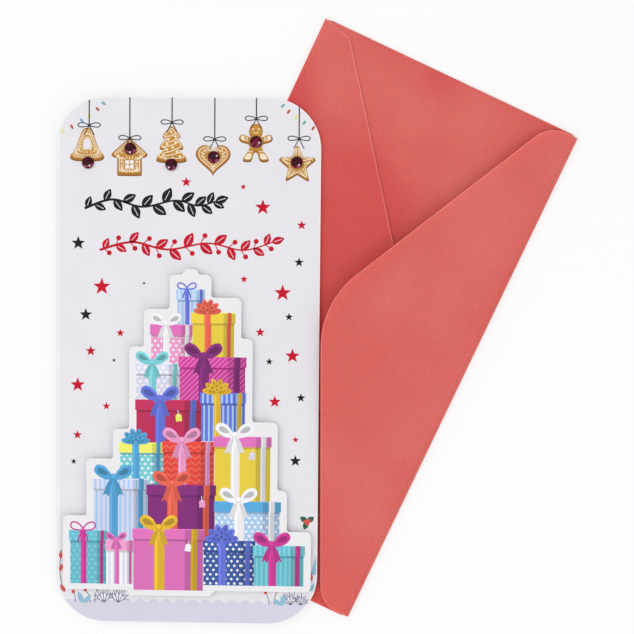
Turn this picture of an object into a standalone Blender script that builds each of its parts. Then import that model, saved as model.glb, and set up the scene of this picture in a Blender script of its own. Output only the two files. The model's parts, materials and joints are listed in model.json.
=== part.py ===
"""Money card with a pocket for a banknote, lying on its pointed-flap envelope.

Run with: blender --background --python part.py, or from Blender's text editor.
Metres, +Z up. The set lies flat: +Y runs to the card's head, +X to the envelope's side.
"""

from math import atan2, ceil, cos, pi, radians, sin, sqrt, tan

import bmesh
import bpy
from mathutils import Vector

# Card
CARD_WIDTH = 0.105
CARD_HEIGHT = 0.210
CARD_CORNER_RADIUS = 0.020
BOARD = 0.0004                    # card stock
CARD_LIP = 0.0008                 # flat part of the spine in front of the crease

# Banknote pocket inside the card
POCKET_PAPER = 0.0003
POCKET_MARGIN = 0.006             # from the card's edges
POCKET_DEPTH = 0.120
POCKET_CORNER_RADIUS = 0.014
POCKET_MOUTH_RADIUS = 0.003
THUMB_NOTCH_RADIUS = 0.013
GLUE_WIDTH = 0.005
GLUE_INSET = 0.0015

# Raised picture of stacked boxes: how far each step reaches from the card's middle, and
# the height of its top above the card's middle
LEFT_STEPS = (
    (0.0492, -0.0615),
    (0.0398, -0.0385),
    (0.0292, -0.0265),
    (0.0228, 0.0065),
    (0.0170, 0.0215),
    (0.0068, 0.0352),
)
RIGHT_STEPS = (
    (0.0500, -0.0670),
    (0.0403, -0.0505),
    (0.0364, -0.0232),
    (0.0262, 0.0100),
    (0.0216, 0.0262),
    (0.0097, 0.0352),
)
STACK_FOOT = -0.0912              # lower edge, under the outer boxes
STACK_MIDDLE_FOOT = -0.0934       # lower edge, under the middle box
STACK_MIDDLE = (-0.0235, 0.0095)  # sides of the middle box
STACK_BOW_RISE = 0.0022           # bump of the topmost bow
STACK_BOW_FOOT = 0.0070
STACK_BOW_TOP = 0.0042
STEP_CORNER_RADIUS = 0.0022
STEP_NOOK_RADIUS = 0.0012

# Foam pads under the picture
FOAM_THICKNESS = 0.0014
FOAM_LENGTH = 0.010
FOAM_WIDTH = 0.005
FOAM_INSET = 0.0035               # from the step's edges to the pad's edges

# Rhinestones: centre from the card's middle
STONE_DIAMETER = 0.0048
STONE_GIRDLE = 0.0004
STONE_CROWN = 0.0013
STONE_SHOULDER_DIAMETER = 0.0036
STONE_SHOULDER_RISE = 0.0008
STONE_TABLE_DIAMETER = 0.0023
STONE_PLACES = (
    (-0.0396, 0.0790),
    (-0.0228, 0.0846),
    (-0.0066, 0.0785),
    (0.0102, 0.0816),
    (0.0268, 0.0877),
    (0.0430, 0.0798),
)

# Envelope: width is across the short side, length along the closure flap's crease
ENVELOPE_WIDTH = 0.110
ENVELOPE_LENGTH = 0.213
ENVELOPE_TURN = radians(-24.7)    # against the card
ENVELOPE_RISE = 0.0171            # envelope's middle above the card's middle
PAPER = 0.0003
POCKET_GAP = 0.0009               # room between the front panel and the side flaps
FOLD_RETURN = 0.0005              # flat part of a fold on the underside
CREASE_LIP = 0.0015               # flat part of the spine in front of the closure's crease
FOLD_END_RELIEF = 0.0003          # a fold stops this short of the envelope's end
SIDE_FLAP_DEPTH = 0.080
SIDE_FLAP_POINT_WIDTH = 0.034
SIDE_FLAP_RADIUS = 0.014
BOTTOM_FLAP_SHOULDER = 0.0119
BOTTOM_FLAP_SHOULDER_DROP = 0.0030
BOTTOM_FLAP_SHOULDER_RADIUS = 0.005
BOTTOM_FLAP_POINT = 0.0907        # to the point before it is rounded
BOTTOM_FLAP_RADIUS = 0.042
CLOSURE_SHOULDER = 0.0124
CLOSURE_SHOULDER_RADIUS = 0.012
CLOSURE_POINT = 0.0643            # to the point before it is rounded
CLOSURE_POINT_OFFSET = 0.0045     # towards the envelope's head
CLOSURE_RADIUS = 0.036
CLOSURE_END_INSET = 0.0008
CLOSURE_BOW = 0.0015              # rise of the point over the flap's own plane
CLOSURE_SPRING = radians(4)       # the crease springs open by this much at rest

# Gum
GUM = 0.0001
GUM_BAND_WIDTH = 0.014
GUM_BAND_INSET = 0.0030
GUM_BAND_SHORT = 0.016            # the band stops this short of the flap's ends
SEAM_GUM_WIDTH = 0.004
SEAM_GUM_INSET = 0.0022
SEAM_GUM_SHORT = 0.010            # the seam's gum stops this short of the fold
SEAM_GUM_LENGTH = 0.052

# Clearances
SEAT_GAP = 0.0003                 # between layers that lie on each other
SCORE_GAP = 0.0003                # between panels that meet at a score line
CREASE_CLEARANCE = 0.0002         # between a turning panel and its spine
CARD_FLAP_CLEARANCE = 0.0004      # between the card's right edge and the closure flap

# Fineness, and how far cutters and untrimmed sheets run past what they trim
ARC_STEP = radians(9)
NOTCH_STEPS = 48
FOLD_STEPS = 10
BOW_STEPS = 14
STONE_FACETS = 16
SHARP_ANGLE = radians(30)
WELD_DISTANCE = 0.00001
CUTTER_REACH = 0.010
OVERRUN = 0.001

# Heights of the layers above the table, each to the layer's underside
SIDE_FLAP_Z = PAPER + POCKET_GAP
BOTTOM_FLAP_Z = SIDE_FLAP_Z + PAPER + SEAT_GAP
CLOSURE_Z = BOTTOM_FLAP_Z + PAPER + SEAT_GAP
CARD_Z = BOTTOM_FLAP_Z + PAPER + SEAT_GAP
POCKET_Z = BOARD + SEAT_GAP                      # above the card's underside
FRONT_COVER_Z = POCKET_Z + POCKET_PAPER + SEAT_GAP
CARD_THICKNESS = FRONT_COVER_Z + BOARD
FOAM_Z = CARD_THICKNESS + SEAT_GAP
STACK_Z = FOAM_Z + FOAM_THICKNESS + SEAT_GAP

# Outer radii of the folds
SIDE_FOLD = (SIDE_FLAP_Z + PAPER) / 2
BOTTOM_FOLD = (BOTTOM_FLAP_Z + PAPER) / 2
CLOSURE_FOLD = (CLOSURE_Z + PAPER) / 2
CARD_FOLD = CARD_THICKNESS / 2

# A side flap's fold stops this short of both long edges
SIDE_RELIEF = BOTTOM_FOLD + FOLD_RETURN + SCORE_GAP


def srgb(red, green, blue):
    """Linear colour of an 8-bit screen colour."""
    def channel(value):
        share = value / 255
        return share / 12.92 if share <= 0.04045 else ((share + 0.055) / 1.055) ** 2.4
    return (channel(red), channel(green), channel(blue), 1.0)


def material(name, colour, roughness, metallic=0.0):
    made = bpy.data.materials.new(name)
    made.use_nodes = True
    shader = made.node_tree.nodes["Principled BSDF"]
    shader.inputs["Base Color"].default_value = colour
    shader.inputs["Roughness"].default_value = roughness
    shader.inputs["Metallic"].default_value = metallic
    made.diffuse_color = colour
    return made


def clear_scene():
    for thing in list(bpy.data.objects):
        bpy.data.objects.remove(thing)


def collection(name):
    made = bpy.data.collections.new(name)
    bpy.context.scene.collection.children.link(made)
    return made


def empty(name, place, parent=None, turn=0.0):
    """An axis or a frame that pieces hang on."""
    made = bpy.data.objects.new(name, None)
    made.empty_display_size = 0.01
    made.location = place
    made.rotation_euler = (0, 0, turn)
    made.parent = parent
    PARTS.objects.link(made)
    return made


def filleted(corners):
    """Points of an outline whose corners (x, y, radius) are rounded with arcs."""
    points = []
    count = len(corners)
    for index, (x, y, radius) in enumerate(corners):
        here = Vector((x, y))
        if radius == 0:
            points.append(here)
            continue
        back = (Vector(corners[index - 1][:2]) - here).normalized()
        ahead = (Vector(corners[(index + 1) % count][:2]) - here).normalized()
        half = back.angle(ahead) / 2
        middle = here + (back + ahead).normalized() * radius / sin(half)
        start = here + back * radius / tan(half) - middle
        end = here + ahead * radius / tan(half) - middle
        turn = start.angle_signed(end)
        steps = max(2, ceil(abs(turn) / ARC_STEP))
        first = atan2(start.y, start.x)
        for step in range(steps + 1):
            angle = first - turn * step / steps
            points.append(middle + Vector((cos(angle), sin(angle))) * radius)
    return points


def flat_mesh(name, corners, low, high):
    """A closed mesh: a flat outline between two heights."""
    curve = bpy.data.curves.new(name, "CURVE")
    curve.dimensions = "2D"
    curve.fill_mode = "BOTH"
    curve.extrude = (high - low) / 2
    spline = curve.splines.new("POLY")
    points = filleted(corners)
    spline.points.add(len(points) - 1)
    for point, place in zip(spline.points, points):
        point.co = (place.x, place.y, 0, 1)
    spline.use_cyclic_u = True
    drawn = bpy.data.objects.new(name, curve)
    bpy.context.scene.collection.objects.link(drawn)
    graph = bpy.context.evaluated_depsgraph_get()
    mesh = bpy.data.meshes.new_from_object(drawn.evaluated_get(graph))
    bpy.data.objects.remove(drawn)
    built = bmesh.new()
    built.from_mesh(mesh)
    bmesh.ops.remove_doubles(built, verts=built.verts, dist=WELD_DISTANCE)
    bmesh.ops.translate(built, verts=built.verts, vec=(0, 0, (low + high) / 2))
    bmesh.ops.recalc_face_normals(built, faces=built.faces)
    built.to_mesh(mesh)
    built.free()
    return mesh


def place(name, mesh, parent, finish, location=(0, 0, 0)):
    """Adds a finished mesh as a named piece."""
    mesh.materials.clear()
    mesh.materials.append(finish)
    made = bpy.data.objects.new(name, mesh)
    made.parent = parent
    made.location = location
    PARTS.objects.link(made)
    return made


def plate(name, corners, low, high, parent, finish, location=(0, 0, 0)):
    return place(name, flat_mesh(name, corners, low, high), parent, finish, location)


def cutter(name, corners, low, high, parent, location=(0, 0, 0)):
    """A prism that trims a sheet to its outline."""
    made = bpy.data.objects.new(name, flat_mesh(name, corners, low, high))
    made.parent = parent
    made.location = location
    made.hide_render = True
    made.display_type = "WIRE"
    CUTTERS.objects.link(made)
    return made


def sheet(name, path, span, thickness, outline, parent, finish, location=(0, 0, 0)):
    """A bent sheet: the middle line of its section, drawn along Y, then trimmed."""
    built = bmesh.new()
    rows = []
    for across, height in path:
        low = built.verts.new((across, -span / 2, height))
        high = built.verts.new((across, span / 2, height))
        rows.append((low, high))
    for (low, high), (next_low, next_high) in zip(rows, rows[1:]):
        built.faces.new((low, next_low, next_high, high))
    mesh = bpy.data.meshes.new(name)
    built.to_mesh(mesh)
    built.free()
    made = place(name, mesh, parent, finish, location)
    thicken = made.modifiers.new("thickness", "SOLIDIFY")
    thicken.thickness = thickness
    thicken.offset = 0
    thicken.use_even_offset = True
    trim = made.modifiers.new("outline", "BOOLEAN")
    trim.operation = "INTERSECT"
    trim.object = cutter(name + "_outline", outline, -CUTTER_REACH, CUTTER_REACH, parent, location)
    mesh.shade_smooth()
    mesh.set_sharp_from_angle(angle=SHARP_ANGLE)
    return made


def half_turn(radius, thickness):
    """Middle line of a fold from the top layer round to the bottom one, edge at 0."""
    middle = radius - thickness / 2
    points = []
    for step in range(FOLD_STEPS + 1):
        angle = pi / 2 + pi * step / FOLD_STEPS
        points.append((radius + middle * cos(angle), radius + middle * sin(angle)))
    return points


def crease_setback(radius, thickness, lip):
    """How far from the fold's axis a panel starts, to turn clear of the spine's lip."""
    spine_reach = sqrt(lip ** 2 + radius ** 2) + CREASE_CLEARANCE
    return sqrt(spine_reach ** 2 - (radius - thickness) ** 2)


def mirrored_outline(half):
    """An outline from its half at +Y, in order towards the point."""
    other = [(x, -y, radius) for x, y, radius in reversed(half) if y != 0]
    return list(half) + other


def bow(across):
    """How far the closure flap leaves its plane at a distance from the envelope's edge."""
    share = max(0.0, across - CLOSURE_FOLD) / (CLOSURE_POINT - CLOSURE_FOLD)
    return CLOSURE_BOW * share ** 2


def closure_line(across, along, spread):
    """Slanted edge of the closure flap at a distance along the crease.

    across is where the slanted edges would meet; spread is where they reach the shoulder.
    """
    from_point = along + CLOSURE_POINT_OFFSET
    run = ENVELOPE_LENGTH / 2 - CLOSURE_END_INSET
    if from_point > 0:
        run += CLOSURE_POINT_OFFSET
    else:
        run -= CLOSURE_POINT_OFFSET
    return across - spread * abs(from_point) / run


def envelope_front_panel(parent, finish):
    """Front panel with the spine that the closure flap is creased on."""
    side_edge = ENVELOPE_LENGTH / 2 - SIDE_FOLD - FOLD_RETURN - SCORE_GAP
    far_edge = ENVELOPE_WIDTH - BOTTOM_FOLD - FOLD_RETURN - SCORE_GAP
    spine_end = ENVELOPE_LENGTH / 2 - FOLD_END_RELIEF
    spine_edge = CLOSURE_FOLD + CREASE_LIP
    path = [(spine_edge, CLOSURE_Z + PAPER / 2)]
    path += half_turn(CLOSURE_FOLD, PAPER)
    path.append((far_edge, PAPER / 2))
    ear_edge = SIDE_RELIEF - SCORE_GAP
    half = [
        (-OVERRUN, spine_end, 0),
        (ear_edge, spine_end, 0),
        (ear_edge, side_edge, 0),
        (far_edge + OVERRUN, side_edge, 0),
    ]
    outline = mirrored_outline(half)
    sheet("envelope_front_panel", path, ENVELOPE_LENGTH, PAPER, outline, parent, finish)


def envelope_side_flap(name, parent, finish):
    """Short flap, folded in first."""
    width = ENVELOPE_WIDTH - 2 * SIDE_RELIEF
    path = [(SIDE_FLAP_DEPTH + OVERRUN, SIDE_FLAP_Z + PAPER / 2)]
    path += half_turn(SIDE_FOLD, PAPER)
    path.append((SIDE_FOLD + FOLD_RETURN, PAPER / 2))
    half = [
        (-OVERRUN, width / 2, 0),
        (SIDE_FLAP_DEPTH, SIDE_FLAP_POINT_WIDTH / 2, SIDE_FLAP_RADIUS),
    ]
    sheet(name, path, ENVELOPE_WIDTH, PAPER, mirrored_outline(half), parent, finish)


def envelope_bottom_flap(parent, finish):
    """Long flap, gummed onto the side flaps."""
    end = ENVELOPE_LENGTH / 2 - FOLD_END_RELIEF
    path = [(BOTTOM_FLAP_POINT, BOTTOM_FLAP_Z + PAPER / 2)]
    path += half_turn(BOTTOM_FOLD, PAPER)
    path.append((BOTTOM_FOLD + FOLD_RETURN, PAPER / 2))
    half = [
        (-OVERRUN, end, 0),
        (0, end, 0),
        (BOTTOM_FLAP_SHOULDER, end - BOTTOM_FLAP_SHOULDER_DROP, BOTTOM_FLAP_SHOULDER_RADIUS),
        (BOTTOM_FLAP_POINT, 0, BOTTOM_FLAP_RADIUS),
    ]
    outline = mirrored_outline(half)
    sheet("envelope_bottom_flap", path, ENVELOPE_LENGTH, PAPER, outline, parent, finish)


def closure_path(start, end, below):
    """Section of the bowed flap, or of what lies a little below its middle line."""
    points = []
    for step in range(BOW_STEPS + 1):
        across = start + (end - start) * step / BOW_STEPS
        points.append((across, CLOSURE_Z + PAPER / 2 - below + bow(across)))
    return points


def closure_outline():
    """Pointed flap with rounded shoulders, from the envelope's right edge inwards."""
    end = ENVELOPE_LENGTH / 2 - CLOSURE_END_INSET
    return [
        (0, end, 0),
        (CLOSURE_SHOULDER, end, CLOSURE_SHOULDER_RADIUS),
        (CLOSURE_POINT, -CLOSURE_POINT_OFFSET, CLOSURE_RADIUS),
        (CLOSURE_SHOULDER, -end, CLOSURE_SHOULDER_RADIUS),
        (0, -end, 0),
    ]


def closure_start():
    """Distance from the envelope's edge to where the turning flap begins."""
    return CLOSURE_FOLD + crease_setback(CLOSURE_FOLD, PAPER, CREASE_LIP)


def envelope_closure_flap(hinge, finish):
    """Pointed flap, bowed a little upwards towards its point."""
    seat = (-CLOSURE_FOLD, 0, -CLOSURE_FOLD)
    path = closure_path(closure_start(), CLOSURE_POINT, 0)
    sheet(
        "envelope_closure_flap", path, ENVELOPE_LENGTH, PAPER, closure_outline(),
        hinge, finish, seat,
    )


def closure_gum(hinge, finish):
    """Dry gum along both slanted edges, on the flap's inner side."""
    spread = CLOSURE_POINT - CLOSURE_SHOULDER
    end = ENVELOPE_LENGTH / 2 - GUM_BAND_SHORT
    outer = CLOSURE_POINT - GUM_BAND_INSET
    inner = outer - GUM_BAND_WIDTH
    outline = [
        (closure_line(outer, end, spread), end, 0),
        (outer, -CLOSURE_POINT_OFFSET, CLOSURE_RADIUS),
        (closure_line(outer, -end, spread), -end, 0),
        (closure_line(inner, -end, spread), -end, 0),
        (inner, -CLOSURE_POINT_OFFSET, CLOSURE_RADIUS - GUM_BAND_WIDTH),
        (closure_line(inner, end, spread), end, 0),
    ]
    seat = (-CLOSURE_FOLD, 0, -CLOSURE_FOLD)
    below = PAPER / 2 + GUM + GUM / 2
    path = closure_path(closure_start() + GUM_BAND_INSET, CLOSURE_POINT, below)
    sheet("closure_flap_gum", path, ENVELOPE_LENGTH, GUM, outline, hinge, finish, seat)


def seam_gum(name, side, parent, finish):
    """Gum between the bottom flap and a side flap, along the bottom flap's slanted edge."""
    end = ENVELOPE_LENGTH / 2 - FOLD_END_RELIEF
    shoulder_along = end - BOTTOM_FLAP_SHOULDER_DROP
    slope = (BOTTOM_FLAP_POINT - BOTTOM_FLAP_SHOULDER) / shoulder_along
    first = ENVELOPE_LENGTH / 2 - SEAM_GUM_SHORT
    last = first - SEAM_GUM_LENGTH
    edge_first = BOTTOM_FLAP_POINT - slope * first - SEAM_GUM_INSET
    edge_last = BOTTOM_FLAP_POINT - slope * last - SEAM_GUM_INSET
    corners = [
        (edge_first, side * first, 0),
        (edge_last, side * last, 0),
        (edge_last - SEAM_GUM_WIDTH, side * last, 0),
        (edge_first - SEAM_GUM_WIDTH, side * first, 0),
    ]
    low = BOTTOM_FLAP_Z - GUM - GUM
    plate(name, corners, low, low + GUM, parent, finish)


def card_outline():
    half_width = CARD_WIDTH / 2
    half_height = CARD_HEIGHT / 2
    return [
        (-half_width, -half_height, CARD_CORNER_RADIUS),
        (half_width, -half_height, CARD_CORNER_RADIUS),
        (half_width, half_height, CARD_CORNER_RADIUS),
        (-half_width, half_height, CARD_CORNER_RADIUS),
    ]


def card_back_cover(parent, finish):
    """Back cover with the card's spine."""
    left = -CARD_WIDTH / 2
    path = [(left + CARD_FOLD + CARD_LIP, FRONT_COVER_Z + BOARD / 2)]
    path += [(left + across, height) for across, height in half_turn(CARD_FOLD, BOARD)]
    path.append((CARD_WIDTH / 2 + OVERRUN, BOARD / 2))
    span = CARD_HEIGHT + 2 * OVERRUN
    sheet("card_back_cover", path, span, BOARD, card_outline(), parent, finish)


def card_front_cover(hinge, finish):
    left = -CARD_WIDTH / 2
    start = left + CARD_FOLD + crease_setback(CARD_FOLD, BOARD, CARD_LIP)
    height = FRONT_COVER_Z + BOARD / 2
    path = [(start, height), (CARD_WIDTH / 2 + OVERRUN, height)]
    seat = (CARD_WIDTH / 2 - CARD_FOLD, 0, -CARD_FOLD)
    span = CARD_HEIGHT + 2 * OVERRUN
    sheet("card_front_cover", path, span, BOARD, card_outline(), hinge, finish, seat)


def pocket_edges():
    """Left, right, lower and upper edge of the banknote pocket."""
    right = CARD_WIDTH / 2 - POCKET_MARGIN
    foot = -CARD_HEIGHT / 2 + POCKET_MARGIN
    return -right, right, foot, foot + POCKET_DEPTH


def money_pocket(parent, finish):
    left, right, foot, mouth = pocket_edges()
    corners = [
        (left, foot, POCKET_CORNER_RADIUS),
        (right, foot, POCKET_CORNER_RADIUS),
        (right, mouth, POCKET_MOUTH_RADIUS),
        (left, mouth, POCKET_MOUTH_RADIUS),
    ]
    pocket = plate("money_pocket_panel", corners, POCKET_Z, POCKET_Z + POCKET_PAPER, parent, finish)
    built = bmesh.new()
    bmesh.ops.create_cone(
        built, cap_ends=True, segments=NOTCH_STEPS, radius1=THUMB_NOTCH_RADIUS,
        radius2=THUMB_NOTCH_RADIUS, depth=CUTTER_REACH,
    )
    mesh = bpy.data.meshes.new("thumb_notch")
    built.to_mesh(mesh)
    built.free()
    notch_cutter = bpy.data.objects.new("thumb_notch", mesh)
    notch_cutter.parent = parent
    notch_cutter.location = ((left + right) / 2, mouth, POCKET_Z)
    notch_cutter.hide_render = True
    notch_cutter.display_type = "WIRE"
    CUTTERS.objects.link(notch_cutter)
    notch = pocket.modifiers.new("thumb notch", "BOOLEAN")
    notch.operation = "DIFFERENCE"
    notch.object = notch_cutter


def pocket_glue(parent, finish):
    """Three strips of glue that hold the pocket to the back cover."""
    left, right, foot, mouth = pocket_edges()
    low = POCKET_Z - GUM - GUM
    high = low + GUM
    side_foot = foot + POCKET_CORNER_RADIUS
    side_top = mouth - POCKET_MOUTH_RADIUS
    rectangles = {
        "pocket_glue_left": (left + GLUE_INSET, side_foot, left + GLUE_INSET + GLUE_WIDTH, side_top),
        "pocket_glue_right": (right - GLUE_INSET - GLUE_WIDTH, side_foot, right - GLUE_INSET, side_top),
        "pocket_glue_foot": (
            left + POCKET_CORNER_RADIUS, foot + GLUE_INSET,
            right - POCKET_CORNER_RADIUS, foot + GLUE_INSET + GLUE_WIDTH,
        ),
    }
    for name, (x0, y0, x1, y1) in rectangles.items():
        corners = [(x0, y0, 0), (x1, y0, 0), (x1, y1, 0), (x0, y1, 0)]
        plate(name, corners, low, high, parent, finish)


def stack_outline():
    """Stepped outline of the raised picture, anticlockwise from the foot's left end."""
    convex = STEP_CORNER_RADIUS
    nook = STEP_NOOK_RADIUS
    middle_left, middle_right = STACK_MIDDLE
    points = [
        (-LEFT_STEPS[0][0], STACK_FOOT, convex),
        (middle_left, STACK_FOOT, nook),
        (middle_left, STACK_MIDDLE_FOOT, nook),
        (middle_right, STACK_MIDDLE_FOOT, nook),
        (middle_right + STACK_FOOT - STACK_MIDDLE_FOOT, STACK_FOOT, nook),
        (RIGHT_STEPS[0][0], STACK_FOOT, convex),
    ]
    for step, (reach, top) in enumerate(RIGHT_STEPS):
        points.append((reach, top, convex))
        if step + 1 < len(RIGHT_STEPS):
            points.append((RIGHT_STEPS[step + 1][0], top, nook))
    bow_top = STACK_BOW_RISE + max(LEFT_STEPS[-1][1], RIGHT_STEPS[-1][1])
    bow_middle = (RIGHT_STEPS[-1][0] - LEFT_STEPS[-1][0]) / 2
    points += [
        (bow_middle + STACK_BOW_FOOT / 2, RIGHT_STEPS[-1][1], nook),
        (bow_middle + STACK_BOW_TOP / 2, bow_top, nook),
        (bow_middle - STACK_BOW_TOP / 2, bow_top, nook),
        (bow_middle - STACK_BOW_FOOT / 2, LEFT_STEPS[-1][1], nook),
    ]
    for step in reversed(range(len(LEFT_STEPS))):
        reach, top = LEFT_STEPS[step]
        points.append((-reach, top, convex))
        if step > 0:
            points.append((-reach, LEFT_STEPS[step - 1][1], nook))
    return points


def raised_picture(parent, finish, seat):
    plate("raised_gift_stack", stack_outline(), STACK_Z, STACK_Z + BOARD, parent, finish, seat)


def foam_places():
    """Centres of the pads: inside each step's corner, and at the foot's ends."""
    across = FOAM_INSET + FOAM_LENGTH / 2
    down = FOAM_INSET + FOAM_WIDTH / 2
    places = []
    for reach, top in LEFT_STEPS[:-1]:
        places.append((-reach + across, top - down))
    for reach, top in RIGHT_STEPS[:-1]:
        places.append((reach - across, top - down))
    top_middle = (RIGHT_STEPS[-1][0] - LEFT_STEPS[-1][0]) / 2
    places.append((top_middle, LEFT_STEPS[-1][1] - down))
    places.append((-LEFT_STEPS[0][0] + across, STACK_FOOT + down))
    places.append((RIGHT_STEPS[0][0] - across, STACK_FOOT + down))
    return places


def foam_pads(parent, finish, seat):
    half_length = FOAM_LENGTH / 2
    half_width = FOAM_WIDTH / 2
    for number, (x, y) in enumerate(foam_places(), start=1):
        corners = [
            (x - half_length, y - half_width, 0),
            (x + half_length, y - half_width, 0),
            (x + half_length, y + half_width, 0),
            (x - half_length, y + half_width, 0),
        ]
        plate(f"foam_pad_{number}", corners, FOAM_Z, FOAM_Z + FOAM_THICKNESS, parent, finish, seat)


def stone_mesh():
    """Flat-backed cut stone: round girdle, eight main facets, eight-sided table."""
    radius = STONE_DIAMETER / 2
    rings = (
        (radius, 0, STONE_FACETS, 0),
        (radius, STONE_GIRDLE, STONE_FACETS, 0),
        (STONE_SHOULDER_DIAMETER / 2, STONE_GIRDLE + STONE_SHOULDER_RISE, STONE_FACETS // 2, 0.5),
        (STONE_TABLE_DIAMETER / 2, STONE_GIRDLE + STONE_CROWN, STONE_FACETS // 2, 0),
    )
    built = bmesh.new()
    for ring_radius, height, count, shift in rings:
        for index in range(count):
            angle = 2 * pi * (index + shift) / count
            built.verts.new((ring_radius * cos(angle), ring_radius * sin(angle), height))
    bmesh.ops.convex_hull(built, input=built.verts)
    bmesh.ops.dissolve_limit(built, angle_limit=radians(1), verts=built.verts, edges=built.edges)
    mesh = bpy.data.meshes.new("rhinestone")
    built.to_mesh(mesh)
    built.free()
    return mesh


def rhinestones(parent, finish, seat):
    mesh = stone_mesh()
    for number, (x, y) in enumerate(STONE_PLACES, start=1):
        location = (seat[0] + x, seat[1] + y, seat[2] + CARD_THICKNESS + SEAT_GAP)
        place(f"rhinestone_{number}", mesh, parent, finish, location)


def turned(across, along):
    """A point of the envelope in the card's directions, from the envelope's middle."""
    x = across * cos(ENVELOPE_TURN) - along * sin(ENVELOPE_TURN)
    y = across * sin(ENVELOPE_TURN) + along * cos(ENVELOPE_TURN)
    return x, y


def envelope_middle():
    """Envelope's middle from the card's middle: its closure flap lies beside the card."""
    flap_xs = []
    for inward, along in filleted(closure_outline()):
        flap_xs.append(turned(ENVELOPE_WIDTH / 2 - inward, -along)[0])
    return CARD_WIDTH / 2 + CARD_FLAP_CLEARANCE - min(flap_xs), ENVELOPE_RISE


def set_middle():
    """Middle of the set's rectangle on the table, measured from the card's middle."""
    xs = [-CARD_WIDTH / 2, CARD_WIDTH / 2]
    ys = [-CARD_HEIGHT / 2, CARD_HEIGHT / 2]
    middle_x, middle_y = envelope_middle()
    for along in (-ENVELOPE_LENGTH / 2, ENVELOPE_LENGTH / 2):
        for across in (-ENVELOPE_WIDTH / 2, ENVELOPE_WIDTH / 2):
            x, y = turned(across, along)
            xs.append(middle_x + x)
            ys.append(middle_y + y)
    return (min(xs) + max(xs)) / 2, (min(ys) + max(ys)) / 2


def build_envelope(middle_x, middle_y):
    paper = material("envelope_paper", srgb(222, 102, 96), 0.62)
    gum = material("gum", srgb(214, 120, 104), 0.30)
    x, y = envelope_middle()
    frame = empty("envelope_frame", (x - middle_x, y - middle_y, 0), turn=ENVELOPE_TURN)
    half_width = ENVELOPE_WIDTH / 2
    half_length = ENVELOPE_LENGTH / 2
    right_edge = empty("envelope_right_edge", (half_width, 0, 0), frame, pi)
    left_edge = empty("envelope_left_edge", (-half_width, 0, 0), frame)
    head_edge = empty("envelope_head_edge", (0, half_length, 0), frame, -pi / 2)
    foot_edge = empty("envelope_foot_edge", (0, -half_length, 0), frame, pi / 2)
    hinge_place = (half_width - CLOSURE_FOLD, 0, CLOSURE_FOLD)
    closure_hinge = empty("closure_flap_hinge", hinge_place, frame, pi)
    closure_hinge.rotation_euler.y = -CLOSURE_SPRING
    envelope_front_panel(right_edge, paper)
    envelope_side_flap("envelope_side_flap_head", head_edge, paper)
    envelope_side_flap("envelope_side_flap_foot", foot_edge, paper)
    envelope_bottom_flap(left_edge, paper)
    seam_gum("seam_gum_head", 1, left_edge, gum)
    seam_gum("seam_gum_foot", -1, left_edge, gum)
    envelope_closure_flap(closure_hinge, paper)
    closure_gum(closure_hinge, gum)


def build_card(middle_x, middle_y):
    board = material("card_board", srgb(234, 232, 238), 0.45)
    pocket_paper = material("pocket_paper", srgb(240, 238, 236), 0.60)
    glue = material("glue", srgb(226, 222, 205), 0.35)
    stack_board = material("stack_board", srgb(243, 241, 243), 0.40)
    foam = material("foam", srgb(245, 245, 245), 0.85)
    stone = material("rhinestone", srgb(92, 12, 40), 0.08)
    frame = empty("card_frame", (-middle_x, -middle_y, CARD_Z))
    hinge_place = (-CARD_WIDTH / 2 + CARD_FOLD, 0, CARD_FOLD)
    cover_hinge = empty("card_cover_hinge", hinge_place, frame)
    seat = (CARD_WIDTH / 2 - CARD_FOLD, 0, -CARD_FOLD)
    card_back_cover(frame, board)
    money_pocket(frame, pocket_paper)
    pocket_glue(frame, glue)
    card_front_cover(cover_hinge, board)
    foam_pads(cover_hinge, foam, seat)
    raised_picture(cover_hinge, stack_board, seat)
    rhinestones(cover_hinge, stone, seat)


clear_scene()
PARTS = collection("money_envelope")
CUTTERS = collection("cutters")
build_envelope(*set_middle())
build_card(*set_middle())
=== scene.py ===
"""Looks of the money card on its pointed-flap envelope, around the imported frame.

Local sizes are millimetres: on the envelope from its middle or from one of its edges, and
on the card from the card's middle. A frame's matrix turns them into metres.
"""

import json
from math import atan2, ceil, cos, pi, radians, sin, sqrt, tan

import bmesh
import bpy
from mathutils import Matrix, Vector

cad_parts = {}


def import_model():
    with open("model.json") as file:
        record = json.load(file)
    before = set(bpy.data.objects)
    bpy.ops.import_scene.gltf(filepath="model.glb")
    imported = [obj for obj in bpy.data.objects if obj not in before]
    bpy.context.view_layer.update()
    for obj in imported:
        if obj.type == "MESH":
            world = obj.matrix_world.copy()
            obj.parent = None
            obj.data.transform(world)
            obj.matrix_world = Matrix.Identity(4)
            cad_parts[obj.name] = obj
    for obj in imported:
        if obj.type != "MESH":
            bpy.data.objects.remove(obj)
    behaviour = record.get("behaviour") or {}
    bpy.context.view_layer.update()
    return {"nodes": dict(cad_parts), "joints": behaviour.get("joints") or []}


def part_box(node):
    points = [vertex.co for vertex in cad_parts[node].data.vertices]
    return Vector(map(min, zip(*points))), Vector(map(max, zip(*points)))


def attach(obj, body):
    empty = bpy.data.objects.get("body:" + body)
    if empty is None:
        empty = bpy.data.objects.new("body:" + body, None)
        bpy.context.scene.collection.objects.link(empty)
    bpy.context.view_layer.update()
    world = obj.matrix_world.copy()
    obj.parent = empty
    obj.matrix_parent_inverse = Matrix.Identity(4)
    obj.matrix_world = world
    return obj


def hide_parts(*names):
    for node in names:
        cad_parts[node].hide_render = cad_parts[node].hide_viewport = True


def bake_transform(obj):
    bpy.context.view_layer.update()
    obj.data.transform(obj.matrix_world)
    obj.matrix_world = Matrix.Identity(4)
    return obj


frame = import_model()

MM = 0.001

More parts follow.
